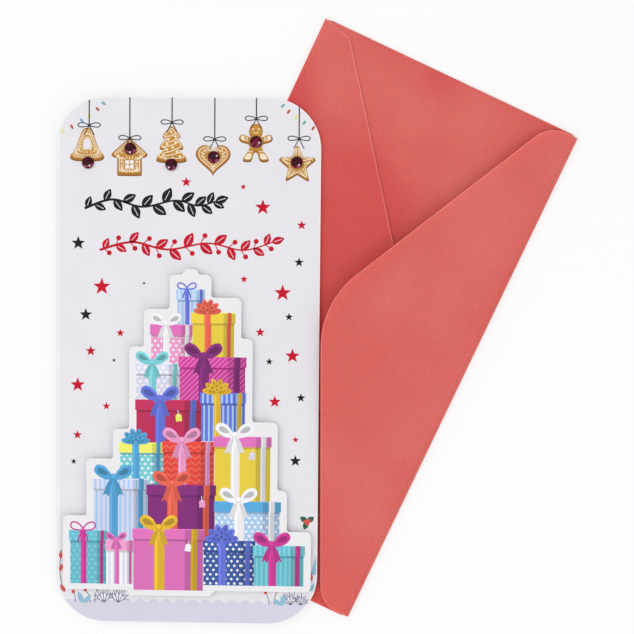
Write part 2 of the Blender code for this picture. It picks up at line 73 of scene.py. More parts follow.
# Envelope
ENVELOPE_WIDTH = 110.0
ENVELOPE_LENGTH = 213.0
PAPER = 0.3
SIDE_FLAP_Z = 1.2
BOTTOM_FLAP_Z = 1.8
CLOSURE_Z = 2.4
SIDE_FOLD = 0.75                  # outer radii of the folds
BOTTOM_FOLD = 1.05
CLOSURE_FOLD = 1.35
FOLD_END_RELIEF = 0.3
SIDE_RELIEF = 1.85
EAR_OVERLAP = 0.6                 # the front panel's ears go this far in past a side flap's edge
SIDE_DEPTH = 80.0
SIDE_HALF_POINT = 17.0            # half width of a side flap's far end, before rounding
SIDE_RADIUS = 14.0
SIDE_TAPER_START = 1.0            # the taper starts this far outside the fold line
SIDE_SAG = 0.5
BOTTOM_SHOULDER = 11.9
BOTTOM_DROP = 3.0                 # slant of the bottom flap's ends up to the shoulder
BOTTOM_SHOULDER_RADIUS = 5.0
BOTTOM_POINT = 90.7
BOTTOM_RADIUS = 42.0
CLOSURE_END = ENVELOPE_LENGTH / 2 - 0.8
CLOSURE_SHOULDER = 12.4
CLOSURE_SHOULDER_RADIUS = 12.0
CLOSURE_POINT = 64.3
CLOSURE_POINT_OFFSET = 4.5
CLOSURE_RADIUS = 36.0
CLOSURE_BOW = 1.5
CLOSURE_SPRING = radians(4)       # the crease springs open by this much at rest
PAPER_GRID = 4.0                  # cells of a sheet that isn't flat
CUT_EDGE = 0.30                   # width of the pale line along a cut edge
WAVE = 0.10                       # height of the paper's slow waves
CALM = 14.0                       # distance from a fold at which the waves are whole

# Card
CARD_WIDTH = 105.0
CARD_HEIGHT = 210.0
CARD_CORNER = 20.0
BOARD = 0.4
BOARD_BEVEL = 0.06
CARD_Z = 2.4
FRONT_COVER_Z = 3.7
CARD_FOLD = 0.85
FOLD_LINE = CARD_FOLD - CARD_WIDTH / 2
CARD_EDGE = 0.40
FOLD_HIGHLIGHT = 0.65                # whiter strip beside the fold, on the front cover: painted highlight of the fold
STACK_Z = 6.1

# Layers of ink above the board that they lie on
INK = 0.009
STAGGER = 0.05                    # share of a layer between shapes that follow each other
SPECK = 0.02                      # a part of a shape with less area than this is left out
PRINT_MARGIN = 0.1                # from the ends of the strings and the snow to the edge and the fold

FOLD_STEPS = 16
STRIP_CELLS = 24                  # cells along a fold between two bodies
ARC_STEP = radians(3)
SAME_PLACE = 0.02                 # points of a sheet that are closer are one point
WHITE = (1, 1, 1, 1)


def envelope_frame():
    """Millimetres from the envelope's middle, on the table, to the world."""
    crease = next(found for found in frame["joints"] if found["name"] == "closure_flap_crease")
    along = Vector(crease["axis"])
    across = Vector((along.y, -along.x, 0))
    hinge = Vector(crease["pos_m"])
    middle = hinge - across * (ENVELOPE_WIDTH / 2 - CLOSURE_FOLD) * MM
    middle.z = 0
    turn = atan2(across.y, across.x)
    return Matrix.Translation(middle) @ Matrix.Rotation(turn, 4, "Z") @ Matrix.Scale(MM, 4)


def card_frame():
    """Millimetres from the card's middle, on the table, to the world."""
    low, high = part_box("card_back_cover")
    middle = (low + high) / 2
    middle.z = 0
    return Matrix.Translation(middle) @ Matrix.Scale(MM, 4)


ENVELOPE = envelope_frame()
CARD = card_frame()


def edge_frame(x, y, turn):
    """Millimetres from a place on the envelope's edge, x inwards from it, to the world."""
    return ENVELOPE @ Matrix.Translation((x, y, 0)) @ Matrix.Rotation(turn, 4, "Z")


CLOSURE_EDGE = edge_frame(ENVELOPE_WIDTH / 2, 0, pi)


def linear(colour):
    """Linear values of an 8-bit screen colour."""
    shares = [value / 255 for value in colour]
    return [s / 12.92 if s <= 0.04045 else ((s + 0.055) / 1.055) ** 2.4 for s in shares]


class Shading:
    """The node tree of a material or of the world, with short ways to fill it."""

    def __init__(self, owner):
        owner.use_nodes = True
        self.owner = owner
        self.nodes = owner.node_tree.nodes
        self.links = owner.node_tree.links

    def fill(self, node, inputs):
        """Sets each input to its value, or joins it to the output that is given."""
        for name, value in inputs.items():
            if isinstance(value, bpy.types.NodeSocket):
                self.links.new(value, node.inputs[name])
            else:
                node.inputs[name].default_value = value

    def add(self, kind, inputs, output=0, **settings):
        """An output of a new node, whose settings come before its inputs."""
        node = self.nodes.new("ShaderNode" + kind)
        for name, value in settings.items():
            setattr(node, name, value)
        self.fill(node, inputs)
        return node.outputs[output]

    def noise(self, size, detail=2.0, stretch=(1, 1, 1), shift=(0, 0, 0)):
        """Noise whose features are about size millimetres wide."""
        place = self.add("TexCoord", {}, "Object")
        moved = [value * MM for value in shift]
        mapped = self.add("Mapping", {"Vector": place, "Scale": stretch, "Location": moved})
        return self.add("TexNoise", {"Vector": mapped, "Scale": 1 / (size * MM), "Detail": detail})

    def shaded(self, base, factor, low, high):
        """The base colour times a grey that follows a noise from low to high."""
        limits = {"From Min": 0.3, "From Max": 0.7, "To Min": low, "To Max": high}
        grey = self.add("MapRange", {"Value": factor, **limits})
        return self.add("VectorMath", {0: base, "Scale": grey}, operation="SCALE")

    def clouded_tone_and_shade(self, colour, deep):
        """Slow clouds between a colour and a deeper one; on the red paper the shift puts a deep cloud,
        painted shade, round the seam junction.
        """
        clouds = self.noise(60.0, shift=(78, -45, 0))
        limits = {"From Min": 0.36, "From Max": 0.64}
        share = self.add("MapRange", {"Value": clouds, **limits}, interpolation_type="SMOOTHSTEP")
        tones = {"A": (*linear(colour), 1), "B": (*linear(deep), 1)}
        return self.add("Mix", {"Factor": share, **tones}, "Result", data_type="RGBA")

    def surface(self, inputs, height, distance):
        """Fills the surface shader; the noise raises it by up to a distance in millimetres."""
        bump = {"Strength": 1.0, "Distance": distance * MM, "Height": height}
        inputs["Normal"] = self.add("Bump", bump)
        self.fill(self.nodes["Principled BSDF"], inputs)
        return self.owner

    def seen_directly(self):
        """1 for rays from the camera, from a mirror or through glass."""
        rays = self.nodes.new("ShaderNodeLightPath").outputs
        seen = rays["Is Camera Ray"]
        for name in ("Is Glossy Ray", "Is Transmission Ray"):
            seen = self.add("Math", {0: seen, 1: rays[name]}, operation="MAXIMUM")
        return seen


def paper_material(name, colour, deep, mottle=0.05, translucency=0.0):
    """Uncoated paper: clouds of a deeper tone, fine grain and short fibres; on the envelope's red paper
    the deep clouds are partly painted shade.
    """
    made = Shading(bpy.data.materials.new(name))
    fine = made.noise(0.7, 3.0)
    fibre = made.noise(0.5, 2.0, (0.35, 1, 1))
    tone = made.clouded_tone_and_shade(colour, deep)
    tone = made.shaded(tone, fine, 1 - mottle * 0.8, 1 + mottle * 0.8)
    tone = made.shaded(tone, fibre, 1 - mottle, 1 + mottle)
    inputs = {
        "Base Color": tone, "Roughness": 0.72, "Specular IOR Level": 0.25,
        "Subsurface Weight": translucency, "Subsurface Radius": (1.0, 0.22, 0.18),
        "Subsurface Scale": PAPER * 3 * MM,
    }
    return made.surface(inputs, fine, 0.012)


def coated_material(name, colour, roughness=0.42, grain=0.012, bump=0.003, gloss=0.35):
    """Smooth coated card or ink on it: an even tone with a very fine print grain."""
    made = Shading(bpy.data.materials.new(name))
    slow = made.noise(12.0)
    fine = made.noise(0.35)
    tone = made.shaded(linear(colour), slow, 1 - grain, 1 + grain)
    tone = made.shaded(tone, fine, 1 - grain, 1 + grain)
    inputs = {"Base Color": tone, "Roughness": roughness, "Specular IOR Level": gloss}
    return made.surface(inputs, fine, bump)


def gum_material(name, colour, roughness):
    """A thin dry film, brushed on unevenly."""
    made = Shading(bpy.data.materials.new(name))
    streaks = made.noise(1.2, 3.0, (0.3, 1, 1))
    tone = made.shaded(linear(colour), streaks, 0.92, 1.06)
    film = {"Coat Weight": 0.5, "Coat Roughness": 0.15}
    return made.surface({"Base Color": tone, "Roughness": roughness, **film}, streaks, 0.02)


def foam_material():
    made = Shading(bpy.data.materials.new("foam"))
    cells = made.noise(0.25)
    tone = made.shaded(linear((245, 245, 245)), cells, 0.86, 1.0)
    return made.surface({"Base Color": tone, "Roughness": 0.9}, cells, 0.08)


# The same red paper twice: the layers under the closure flap get deep clouds of painted shade, and the
# closure flap gets a lighter copy, painted light.
RED_PAPER_PAINTED_SHADE = paper_material("red_paper", (233, 114, 105), (222, 87, 84), translucency=0.6)
LIT_FLAP_PAPER = paper_material("red_flap_paper_lit", (231, 116, 108), (227, 103, 96), translucency=0.6)
RED_EDGE = paper_material("red_paper_edge", (247, 146, 136), (240, 132, 124), mottle=0.08)
CARD_FRONT = coated_material("card_front", (234, 232, 237))
CARD_WHITE = coated_material("card_white", (245, 245, 248))
CARD_CUT = paper_material("card_cut_edge", (247, 246, 244), (244, 243, 241), mottle=0.02)
STACK_FRONT = coated_material("stack_front", (238, 237, 240))
POCKET = paper_material("pocket_paper", (241, 239, 237), (238, 236, 234), mottle=0.02)
GUM = gum_material("gum", (214, 120, 104), 0.3)
GLUE = gum_material("glue", (226, 222, 205), 0.35)
FOAM = foam_material()


def rounded(corners, arc_step=ARC_STEP):
    """Points of an outline whose corners (x, y, radius) are rounded with arcs."""
    points = []
    count = len(corners)
    for index, (x, y, radius) in enumerate(corners):
        here = Vector((x, y))
        if radius == 0:
            points.append(here)
            continue
        back = (Vector(corners[index - 1][:2]) - here).normalized()
        ahead = (Vector(corners[(index + 1) % count][:2]) - here).normalized()
        half = back.angle(ahead) / 2
        middle = here + (back + ahead).normalized() * radius / sin(half)
        start = here + back * radius / tan(half) - middle
        end = here + ahead * radius / tan(half) - middle
        turn = start.angle_signed(end)
        steps = max(2, ceil(abs(turn) / arc_step))
        first = atan2(start.y, start.x)
        for step in range(steps + 1):
            angle = first - turn * step / steps
            points.append(middle + Vector((cos(angle), sin(angle))) * radius)
    return points


def rectangle(x0, x1, y0, y1):
    return [(x0, y0), (x1, y0), (x1, y1), (x0, y1)]


def inset(points, width, closed, ends=1):
    """The polyline moved to its left by width.

    ends: how many points at each end of an open one slide along its closing line instead
    """
    count = len(points)
    slide = (points[0] - points[-1]).normalized() * width
    moved = []
    for index, point in enumerate(points):
        if not closed and (index < ends or index >= count - ends):
            moved.append(point - slide if index < ends else point + slide)
            continue
        back = (point - points[index - 1]).normalized()
        ahead = (points[(index + 1) % count] - point).normalized()
        normal = Vector((-back.y - ahead.y, back.x + ahead.x)).normalized()
        share = max(0.3, normal.dot(Vector((-ahead.y, ahead.x))))
        moved.append(point + normal * width / share)
    return moved


def ringed(outline, width, closed, ends=1):
    """A flat mesh of an anticlockwise outline with a narrow ring (material 1) along it."""
    built = bmesh.new()
    outer = [built.verts.new((*point, 0)) for point in outline]
    inner = [built.verts.new((*point, 0)) for point in inset(outline, width, closed, ends)]
    count = len(outline)
    for index in range(count if closed else count - 1):
        after = (index + 1) % count
        strip = (outer[index], outer[after], inner[after], inner[index])
        built.faces.new(strip).material_index = 1
    built.faces.new(inner)
    return built


def grid_cut(built, xs, ys):
    """Cuts a flat mesh along lines at these places."""
    for values, normal in ((xs, (1, 0, 0)), (ys, (0, 1, 0))):
        for value in values:
            geometry = built.verts[:] + built.edges[:] + built.faces[:]
            place = [value * side for side in normal]
            bmesh.ops.bisect_plane(
                built, geom=geometry, plane_co=place, plane_no=normal, dist=SAME_PLACE,
            )
    bmesh.ops.remove_doubles(built, verts=built.verts, dist=SAME_PLACE)


def spaced(low, high, step):
    """Evenly spaced values strictly between two limits."""
    count = max(1, round((high - low) / step))
    return [low + (high - low) * index / count for index in range(1, count)]


def in_scene(name, data):
    made = bpy.data.objects.new(name, data)
    bpy.context.scene.collection.objects.link(made)
    return made


def finished(name, built, matrix, materials):
    """The built mesh as an object, with the matrix taken into its points."""
    mesh = bpy.data.meshes.new(name)
    bmesh.ops.recalc_face_normals(built, faces=built.faces)
    built.to_mesh(mesh)
    built.free()
    mesh.transform(matrix)
    for material in materials:
        mesh.materials.append(material)
    return in_scene(name, mesh)


def sheet(name, built, matrix, materials, thickness, bevel=0.0):
    """The built mesh as an object, with its thickness; material 1 is that of the rim."""
    made = finished(name, built, matrix, materials)
    shell = made.modifiers.new("thickness", "SOLIDIFY")
    shell.thickness = thickness * MM
    shell.offset = 0
    shell.use_even_offset = True
    shell.material_offset_rim = 1
    if bevel:
        soft = made.modifiers.new("soft edges", "BEVEL")
        soft.width = bevel * MM
        soft.segments = 2
        soft.limit_method = "ANGLE"
        soft.angle_limit = radians(50)
    graph = bpy.context.evaluated_depsgraph_get()
    mesh = bpy.data.meshes.new_from_object(made.evaluated_get(graph))
    made.modifiers.clear()
    made.data = mesh
    mesh.shade_smooth()
    mesh.set_sharp_from_angle(angle=radians(30))
    return made


def dressed(piece, body, slot, *replaced):
    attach(piece, body)
    if replaced:
        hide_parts(*replaced)


def wave(matrix, across, along):
    """Slow unevenness of the envelope's paper, the same for all its layers."""
    place = ENVELOPE.inverted() @ matrix @ Vector((across, along, 0))
    x, y = place.x, place.y
    return WAVE * (sin(x / 11 + y / 37) * cos(y / 19 - x / 53) + 0.6 * sin(y / 13 + x / 29))


def calm(across, reach=CALM):
    """No waves at a fold, all of them further in."""
    return min(1.0, max(0.0, across / reach)) ** 2


def mirrored(half, *point):
    """Corners of a flap: those of one half, its point if it has one, and the other half."""
    return [*half, *point, *((x, -y, radius) for x, y, radius in reversed(half))]


def envelope_sheet(node, corners, side, radius, level, lift, matrix):
    """A flap with the half turn of its fold, in place of a node.

    corners: outline (across, along, radius) from one end of the fold line round to the other;
    side: half width at a distance across; lift: rise there above the flap's level
    """
    middle_radius = radius - PAPER / 2
    turn_length = pi * middle_radius

    def section(run):
        """Distance inwards and height of a point at a run from the fold line."""
        if run >= 0:
            return radius + run, level + PAPER / 2
        angle = -run / middle_radius
        height = radius + middle_radius * cos(angle)
        return radius - middle_radius * sin(angle), height + (level + PAPER - 2 * radius)

    fold_runs = [-turn_length * step / FOLD_STEPS for step in range(FOLD_STEPS, 0, -1)]
    fold = [(run, side(section(run)[0])) for run in fold_runs]
    outline = [Vector((run, -half)) for run, half in fold]
    outline += [Vector((point.x - radius, point.y)) for point in rounded(corners)]
    outline += [Vector((run, half)) for run, half in reversed(fold)]
    built = ringed(outline, CUT_EDGE, closed=False, ends=FOLD_STEPS + 1)
    furthest = max(point.x for point in outline)
    half_length = max(point.y for point in outline)
    runs = fold_runs[1:] + [0.0] + spaced(0, furthest, PAPER_GRID)
    grid_cut(built, runs, spaced(-half_length, half_length, PAPER_GRID))
    for vertex in built.verts:
        run, along = vertex.co.x, vertex.co.y
        across, height = section(run)
        rise = lift(across) + wave(matrix, across, along) * calm(run)
        vertex.co = (across, along, height + (rise if run > 0 else 0))
    made = sheet(node + "_sheet", built, matrix, (RED_PAPER_PAINTED_SHADE, RED_EDGE, RED_EDGE), PAPER)
    dressed(made, "envelope", "envelope_paper", node)


def side_flap(end, matrix):
    """A flap at one end, under the two long ones."""
    half_width = ENVELOPE_WIDTH / 2 - SIDE_RELIEF
    taper = half_width - SIDE_HALF_POINT

    def side(across):
        return half_width - taper * (across + SIDE_TAPER_START) / (SIDE_DEPTH + SIDE_TAPER_START)

    half = [(SIDE_FOLD, -side(SIDE_FOLD), 0), (SIDE_DEPTH, -SIDE_HALF_POINT, SIDE_RADIUS)]
    envelope_sheet(
        "envelope_side_flap_" + end, mirrored(half), side, SIDE_FOLD, SIDE_FLAP_Z,
        lambda across: -SIDE_SAG * calm(across, SIDE_DEPTH), matrix,
    )


def bottom_flap():
    """The pointed flap on the left long edge, stuck to the side flaps."""
    end = ENVELOPE_LENGTH / 2 - FOLD_END_RELIEF

    def side(across):
        return end - BOTTOM_DROP * across / BOTTOM_SHOULDER

    start = (BOTTOM_FOLD, -side(BOTTOM_FOLD), 0)
    shoulder = (BOTTOM_SHOULDER, -side(BOTTOM_SHOULDER), BOTTOM_SHOULDER_RADIUS)
    corners = mirrored([start, shoulder], (BOTTOM_POINT, 0, BOTTOM_RADIUS))
    envelope_sheet(
        "envelope_bottom_flap", corners, side, BOTTOM_FOLD, BOTTOM_FLAP_Z,
        lambda across: 0, edge_frame(-ENVELOPE_WIDTH / 2, 0, 0),
    )


def front_panel():
    """Lies on the table, between all four folds, with ears beside the side flaps' folds."""
    left = -ENVELOPE_WIDTH / 2 + BOTTOM_FOLD
    right = ENVELOPE_WIDTH / 2 - CLOSURE_FOLD
    ear = ENVELOPE_LENGTH / 2 - FOLD_END_RELIEF
    side = ENVELOPE_WIDTH / 2 - SIDE_RELIEF - EAR_OVERLAP
    end = ENVELOPE_LENGTH / 2 - SIDE_FOLD
    foot = [(left, -ear), (-side, -ear), (-side, -end), (side, -end), (side, -ear), (right, -ear)]
    corners = foot + [(x, -y) for x, y in reversed(foot)]
    built = bmesh.new()
    built.faces.new([built.verts.new((x, y, PAPER / 2)) for x, y in corners])
    made = sheet("envelope_front_panel_sheet", built, ENVELOPE, (RED_PAPER_PAINTED_SHADE, RED_EDGE), PAPER)
    dressed(made, "envelope", "envelope_paper", "envelope_front_panel")


def half_turn_strip(name, radius, thickness, low, side, matrix, materials, turn=pi):
    """The fold between two panels that turn against each other.

    low: height of the lower panel's underside; side: half length at a distance across
    """
    middle_radius = radius - thickness / 2
    built = bmesh.new()
    rows = []
    for step in range(FOLD_STEPS + 1):
        angle = turn * step / FOLD_STEPS
        across = radius - middle_radius * sin(angle)
        height = low + radius - middle_radius * cos(angle)
        half = side(across)
        places = [-half + 2 * half * index / STRIP_CELLS for index in range(STRIP_CELLS + 1)]
        rows.append([built.verts.new((across, along, height)) for along in places])
    for row, after in zip(rows, rows[1:]):
        for face in zip(row, row[1:], after[1:], after):
            built.faces.new(face)
    made = sheet(name, built, matrix, materials, thickness)
    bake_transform(made)
    return made


def bow(across):
    """The closure flap's rise towards its point."""
    share = max(0.0, across - CLOSURE_FOLD) / (CLOSURE_POINT - CLOSURE_FOLD)
    return CLOSURE_BOW * share ** 2


def closure_flap():
    """A pointed, bowed sheet, sprung open round its crease."""
    hinge = Matrix.Translation((CLOSURE_FOLD, 0, CLOSURE_FOLD))
    turned = Matrix.Rotation(-CLOSURE_SPRING, 4, "Y")
    matrix = CLOSURE_EDGE @ hinge @ turned @ hinge.inverted()
    start = (CLOSURE_FOLD, -CLOSURE_END, 0)
    shoulder = (CLOSURE_SHOULDER, -CLOSURE_END, CLOSURE_SHOULDER_RADIUS)
    tip = (CLOSURE_POINT, -CLOSURE_POINT_OFFSET, CLOSURE_RADIUS)
    outline = rounded(mirrored([start, shoulder], tip))
    built = ringed(outline, CUT_EDGE, closed=False)
    reach = max(point.x for point in outline)
    lengthwise = spaced(-CLOSURE_END, CLOSURE_END, PAPER_GRID)
    grid_cut(built, spaced(CLOSURE_FOLD, reach, PAPER_GRID), lengthwise)
    for vertex in built.verts:
        across, along = vertex.co.x, vertex.co.y
        rise = bow(across) + wave(matrix, across, along) * calm(across - CLOSURE_FOLD)
        vertex.co.z = CLOSURE_Z + PAPER / 2 + rise
    materials = (LIT_FLAP_PAPER, RED_EDGE, RED_EDGE)
    made = sheet("envelope_closure_flap_sheet", built, matrix, materials, PAPER)
    dressed(made, "closure_flap", "envelope_paper", "envelope_closure_flap")


def closure_crease():
    crease = half_turn_strip(
        "envelope_closure_crease", CLOSURE_FOLD, PAPER, 0, lambda across: CLOSURE_END,
        CLOSURE_EDGE, (LIT_FLAP_PAPER, RED_EDGE), pi - CLOSURE_SPRING,
    )


def card_side(across):
    """Half height of the card at a distance from the nearer one of its long edges."""
    beyond = max(0.0, CARD_CORNER - across)
    return CARD_HEIGHT / 2 - CARD_CORNER + sqrt(CARD_CORNER ** 2 - beyond ** 2)


def card_points():
    """The card's outline, anticlockwise from its lower left corner."""
    half_width, half_height = CARD_WIDTH / 2, CARD_HEIGHT / 2
    corners = rectangle(-half_width, half_width, -half_height, half_height)
    return rounded([(*corner, CARD_CORNER) for corner in corners])


def card_cover(name, level, materials, body, node):
    """A cover from the fold line to the right edge."""
    half = card_side(CARD_FOLD)
    inside = [point for point in card_points() if point.x > FOLD_LINE + SAME_PLACE]
    outline = [Vector((FOLD_LINE, -half))] + inside + [Vector((FOLD_LINE, half))]
    built = ringed(outline, CARD_EDGE, closed=False)
    # The strip beside the fold takes material 1, which is white on the front cover: a painted highlight
    # along the fold.
    grid_cut(built, [FOLD_LINE + FOLD_HIGHLIGHT], [])
    for face in built.faces:
        if face.calc_center_median().x < FOLD_LINE + FOLD_HIGHLIGHT:
            face.material_index = 1
    for vertex in built.verts:
        vertex.co.z = level + BOARD / 2
    made = sheet(name, built, CARD, materials, BOARD, BOARD_BEVEL)
    for face in made.data.polygons:
        underside = face.normal.z < -0.9
        if face.material_index == 0 and underside:
            face.material_index = 1
    dressed(made, body, "card_board", node)


def card():
    cuts = (CARD_WHITE, CARD_CUT)
    card_cover("card_front_sheet", FRONT_COVER_Z, (CARD_FRONT,) + cuts, "card_cover", "card_front_cover")
    card_cover("card_back_sheet", CARD_Z, (CARD_WHITE,) + cuts, "card", "card_back_cover")
    left_edge = CARD @ Matrix.Translation((-CARD_WIDTH / 2, 0, 0))
    # The fold strip is white all round; on the front it adds to the painted highlight along the fold.
    strip = half_turn_strip(
        "card_fold", CARD_FOLD, BOARD, CARD_Z, card_side, left_edge, cuts,
    )


COLOURS = {
    "string": (48, 46, 50), "black": (22, 20, 25), "red": (200, 14, 42),
    "teal": (116, 178, 182), "rust": (186, 98, 76), "lime": (228, 228, 140), "sky": (132, 174, 212),
    "scorch": (98, 70, 52), "rim": (160, 100, 42), "crust": (184, 124, 50),
    "biscuit": (202, 146, 66), "ginger": (200, 144, 60), "icing": (248, 234, 204),
    "paper": (236, 234, 240), "snow": (218, 215, 232), "holly": (54, 96, 74),
    "berry": (214, 88, 78), "frost": (150, 194, 216), "twig": (78, 96, 122),
    "pink": (222, 114, 186), "rose": (238, 158, 204), "gold": (230, 184, 52),
    "lilac": (216, 216, 238), "navy": (62, 92, 160), "aqua": (126, 208, 216),
    "turquoise": (104, 186, 206), "plum": (132, 48, 122), "coral": (236, 104, 84),
    "pale_blue": (166, 204, 240), "blue": (86, 166, 216), "yellow": (234, 208, 70),
    "crimson": (192, 50, 92), "violet": (104, 118, 218), "magenta": (206, 62, 152),
    "lemon": (238, 236, 110), "white": (246, 246, 250), "scarlet": (226, 70, 62),
}
inks = {}


def ink(name, shade=1.0):
    """Printed colour, times a shade for the sides that lie away from the light."""
    key = f"ink_{name}_{round(shade * 100)}"
    if key not in inks:
        colour = [min(255, value * shade) for value in COLOURS[name]]
        inks[key] = coated_material(key, colour, roughness=0.38, grain=0.02, gloss=0.12)
    return inks[key]


class Print:
    """Shapes of ink on a board, each a thin closed body, joined into one piece.

    A shape's colour is a name or an ink, and its layer says how high it lies.
    """

    def __init__(self, name, board=FRONT_COVER_Z + BOARD):
        self.name = name
        self.board = board
        self.built = bmesh.new()
        self.materials = []
        self.count = 0

    def verts(self, points, height):
        return [self.built.verts.new((*point, height)) for point in points]

    def top(self, layer):
        """Height of a shape's top; shapes of one layer that follow each other differ a little."""
        self.count += 1
        return self.board + INK * (layer + STAGGER * (self.count % 9))

    def add(self, faces, colour):
        material = ink(colour) if isinstance(colour, str) else colour
        if material not in self.materials:
            self.materials.append(material)
        for face in faces:
            self.built.faces.new(face).material_index = self.materials.index(material)

    def shape(self, points, colour, layer):
        """A filled outline."""
        low = self.verts(points, self.board)
        high = self.verts(points, self.top(layer))
        sides = zip(low, low[1:] + low[:1], high[1:] + high[:1], high)
        self.add([high, low[::-1], *sides], colour)

    def line(self, points, width, colour, layer, closed=False):
        """A band along a line; width is a number or a function of the share of its length."""
        count = len(points)
        points = [Vector(point) for point in points]
        left, right = [], []
        for here, point in enumerate(points):
            back = points[here - 1] if here or closed else point
            ahead = points[(here + 1) % count] if here < count - 1 or closed else point
            along = (ahead - back).normalized()
            half = (width(here / (count - 1)) if callable(width) else width) / 2
            left.append(point + Vector((-along.y, along.x)) * half)
            right.append(point - Vector((-along.y, along.x)) * half)
        top = self.top(layer)
        rows = list(zip(
            self.verts(left, self.board), self.verts(left, top),
            self.verts(right, top), self.verts(right, self.board),
        ))
        faces = [] if closed else [rows[0], rows[-1][::-1]]
        for row, after in zip(rows, rows[1:] + (rows[:1] if closed else [])):
            faces += zip(row, row[1:] + row[:1], after[1:] + after[:1], after)
        self.add(faces, colour)

    def dot(self, x, y, radius, colour, layer, sides=14):
        self.shape(circle(x, y, radius, radius, sides), colour, layer)

    def done(self, slot="card_board"):
        made = finished(self.name, self.built, CARD, self.materials)
        dressed(made, "card_cover", slot)


def placed(point, x, y, scale=1.0, turn=0.0, flip=1):
    """A point of a motif, scaled, mirrored where flip is -1, turned and moved."""
    across, up = point[0] * scale * flip, point[1] * scale
    return (x + across * cos(turn) - up * sin(turn), y + across * sin(turn) + up * cos(turn))


def motif(points, x, y, scale=1.0, turn=0.0, flip=1):
    """All the points of a motif, which runs the same way round when it is mirrored."""
    moved = [placed(point, x, y, scale, turn, flip) for point in points]
    return moved[::-1] if flip < 0 else moved


def away(x, y, reach, angle):
    """The point at a reach and an angle from a place."""
    return (x + reach * cos(angle), y + reach * sin(angle))


def circle(x, y, width, height, sides=24, turn=0.0):
    """An ellipse; width and height are the halves of its sizes."""
    angles = [2 * pi * step / sides for step in range(sides)]
    return motif([(width * cos(angle), height * sin(angle)) for angle in angles], x, y, 1, turn)


def star(x, y, size, inner=0.42):
    """Five points, one upwards; size is the width, which is less than that of their circle."""
    reach = size / 2 * 1.05
    radii = (reach, reach * inner)
    return [away(x, y, radii[step % 2], pi / 2 + pi * step / 5) for step in range(10)]


def smooth(points, closed=False, steps=5):
    """A curve through the points."""
    points = [Vector(point) for point in points]
    count = len(points)
    made = []
    for here in range(count if closed else count - 1):
        start, end = points[here], points[(here + 1) % count]
        before = points[here - 1] if here or closed else start
        after = points[(here + 2) % count] if here + 2 < count or closed else end
        for step in range(steps):
            t = step / steps
            made.append(0.5 * (
                2 * start + (end - before) * t
                + (2 * before - 5 * start + 4 * end - after) * t ** 2
                + (3 * start - before - 3 * end + after) * t ** 3
            ))
    if not closed:
        made.append(points[-1])
    return made


def both_sides(half, steps=3):
    """A smooth symmetric outline, anticlockwise, from its right half, top to bottom."""
    left = [(-x, y) for x, y in half if x > 0]
    return smooth([*reversed(half), *left], closed=True, steps=steps)


def clipped(points, border):
    """The part of an outline inside a convex anticlockwise border."""
    kept = [Vector(point) for point in points]
    for here in range(len(border)):
        start = Vector(border[here - 1])
        edge = Vector(border[here]) - start
        subject, kept = kept, []
        for index, point in enumerate(subject):
            before = subject[index - 1]
            side = edge.cross(point - start)
            side_before = edge.cross(before - start)
            if side * side_before < 0:
                kept.append(before + (point - before) * side_before / (side_before - side))
            if side >= 0:
                kept.append(point)
    return kept


def area(points):
    """Area of an anticlockwise outline of vectors."""
    return sum(here.cross(after) for here, after in zip(points, points[1:] + points[:1])) / 2


def outside(points, x0, x1, y0, y1):
    """The parts of an outline that lie outside a rectangle."""
    if area(clipped(points, rectangle(x0, x1, y0, y1))) < SPECK:
        return [points]
    far = 2 * CARD_HEIGHT
    around = (
        rectangle(-far, x0, -far, far), rectangle(x1, far, -far, far),
        rectangle(x0, x1, -far, y0), rectangle(x0, x1, y1, far),
    )
    parts = [clipped(points, border) for border in around]
    return [part for part in parts if area(part) > SPECK]


def hanging_string(art, x, y):
    """A string from the card's upper edge down to a tied bow."""
    top = card_side(CARD_WIDTH / 2 - abs(x)) - PRINT_MARGIN
    art.line([(x, top), (x, y)], 0.44, "string", 9)
    loop = ((0, 0), (1.5, 0.8), (3.4, 1.0), (4.4, 0.3), (3.7, -0.6), (1.7, -0.5))
    tail = ((0, 0), (0.7, -1.3), (2.0, -3.8))
    for flip in (-1, 1):
        curve = smooth(motif(loop, x, y, flip=flip), closed=True)
        art.line(curve, 0.36, "string", 9, closed=True)
        art.line(smooth(motif(tail, x, y, flip=flip)), 0.34, "string", 9)
    art.dot(x, y, 0.62, "string", 9.5)


ICING = 6                         # layer of the icing on a biscuit
STROKE = 0.34                     # width of a short stroke of icing


def biscuit(art, outline, x, y, iced=True):
    """A baked shape: thin dark outline, lower rim, brown body, paler face, line of icing."""
    art.shape(motif(outline, x, y - 0.5, 1.035), "scorch", 1.5)
    art.shape(motif(outline, x - 0.1, y - 0.6), "rim", 2.5)
    art.shape(motif(outline, x, y), "crust", 3.5)
    art.shape(motif(outline, x, y + 0.15, 0.92), "biscuit", 4.5)
    if iced:
        art.line(motif(outline, x, y + 0.1, 0.85), 0.3, "icing", ICING - 0.5, closed=True)


def filigree(art, outline, x, y, spacing, near, far):
    """Short strokes of icing that point away from the middle, with dots between them."""
    for index, point in enumerate(outline[::spacing]):
        if index % 2:
            art.dot(*placed(point, x, y, (near + far) / 2), 0.3, "icing", ICING, 8)
        else:
            ends = [placed(point, x, y, share) for share in (near, far)]
            art.line(ends, STROKE, "icing", ICING)


def bell(art, x, y):
    outline = both_sides([
        (0, 6.8), (1.3, 6.5), (2.2, 5.2), (2.9, 3.3), (3.7, 1.0), (4.5, -1.1), (5.7, -2.8),
        (6.5, -3.9), (6.2, -4.9), (4.8, -5.5), (2.5, -5.7), (0, -5.8),
    ], steps=4)
    biscuit(art, outline, x, y)
    filigree(art, outline, x, y, 2, 0.60, 0.76)
    filigree(art, outline, x, y, 5, 0.42, 0.52)
    arch = [(1.5, -2.0), (1.4, 0.2), (0.9, 1.7), (0, 2.3), (-0.9, 1.7), (-1.4, 0.2), (-1.5, -2.0)]
    art.shape(motif(arch, x, y + 0.5), "paper", ICING)
    art.line(motif(arch, x, y + 0.5, 1.15), 0.26, "icing", ICING + 0.5, closed=True)


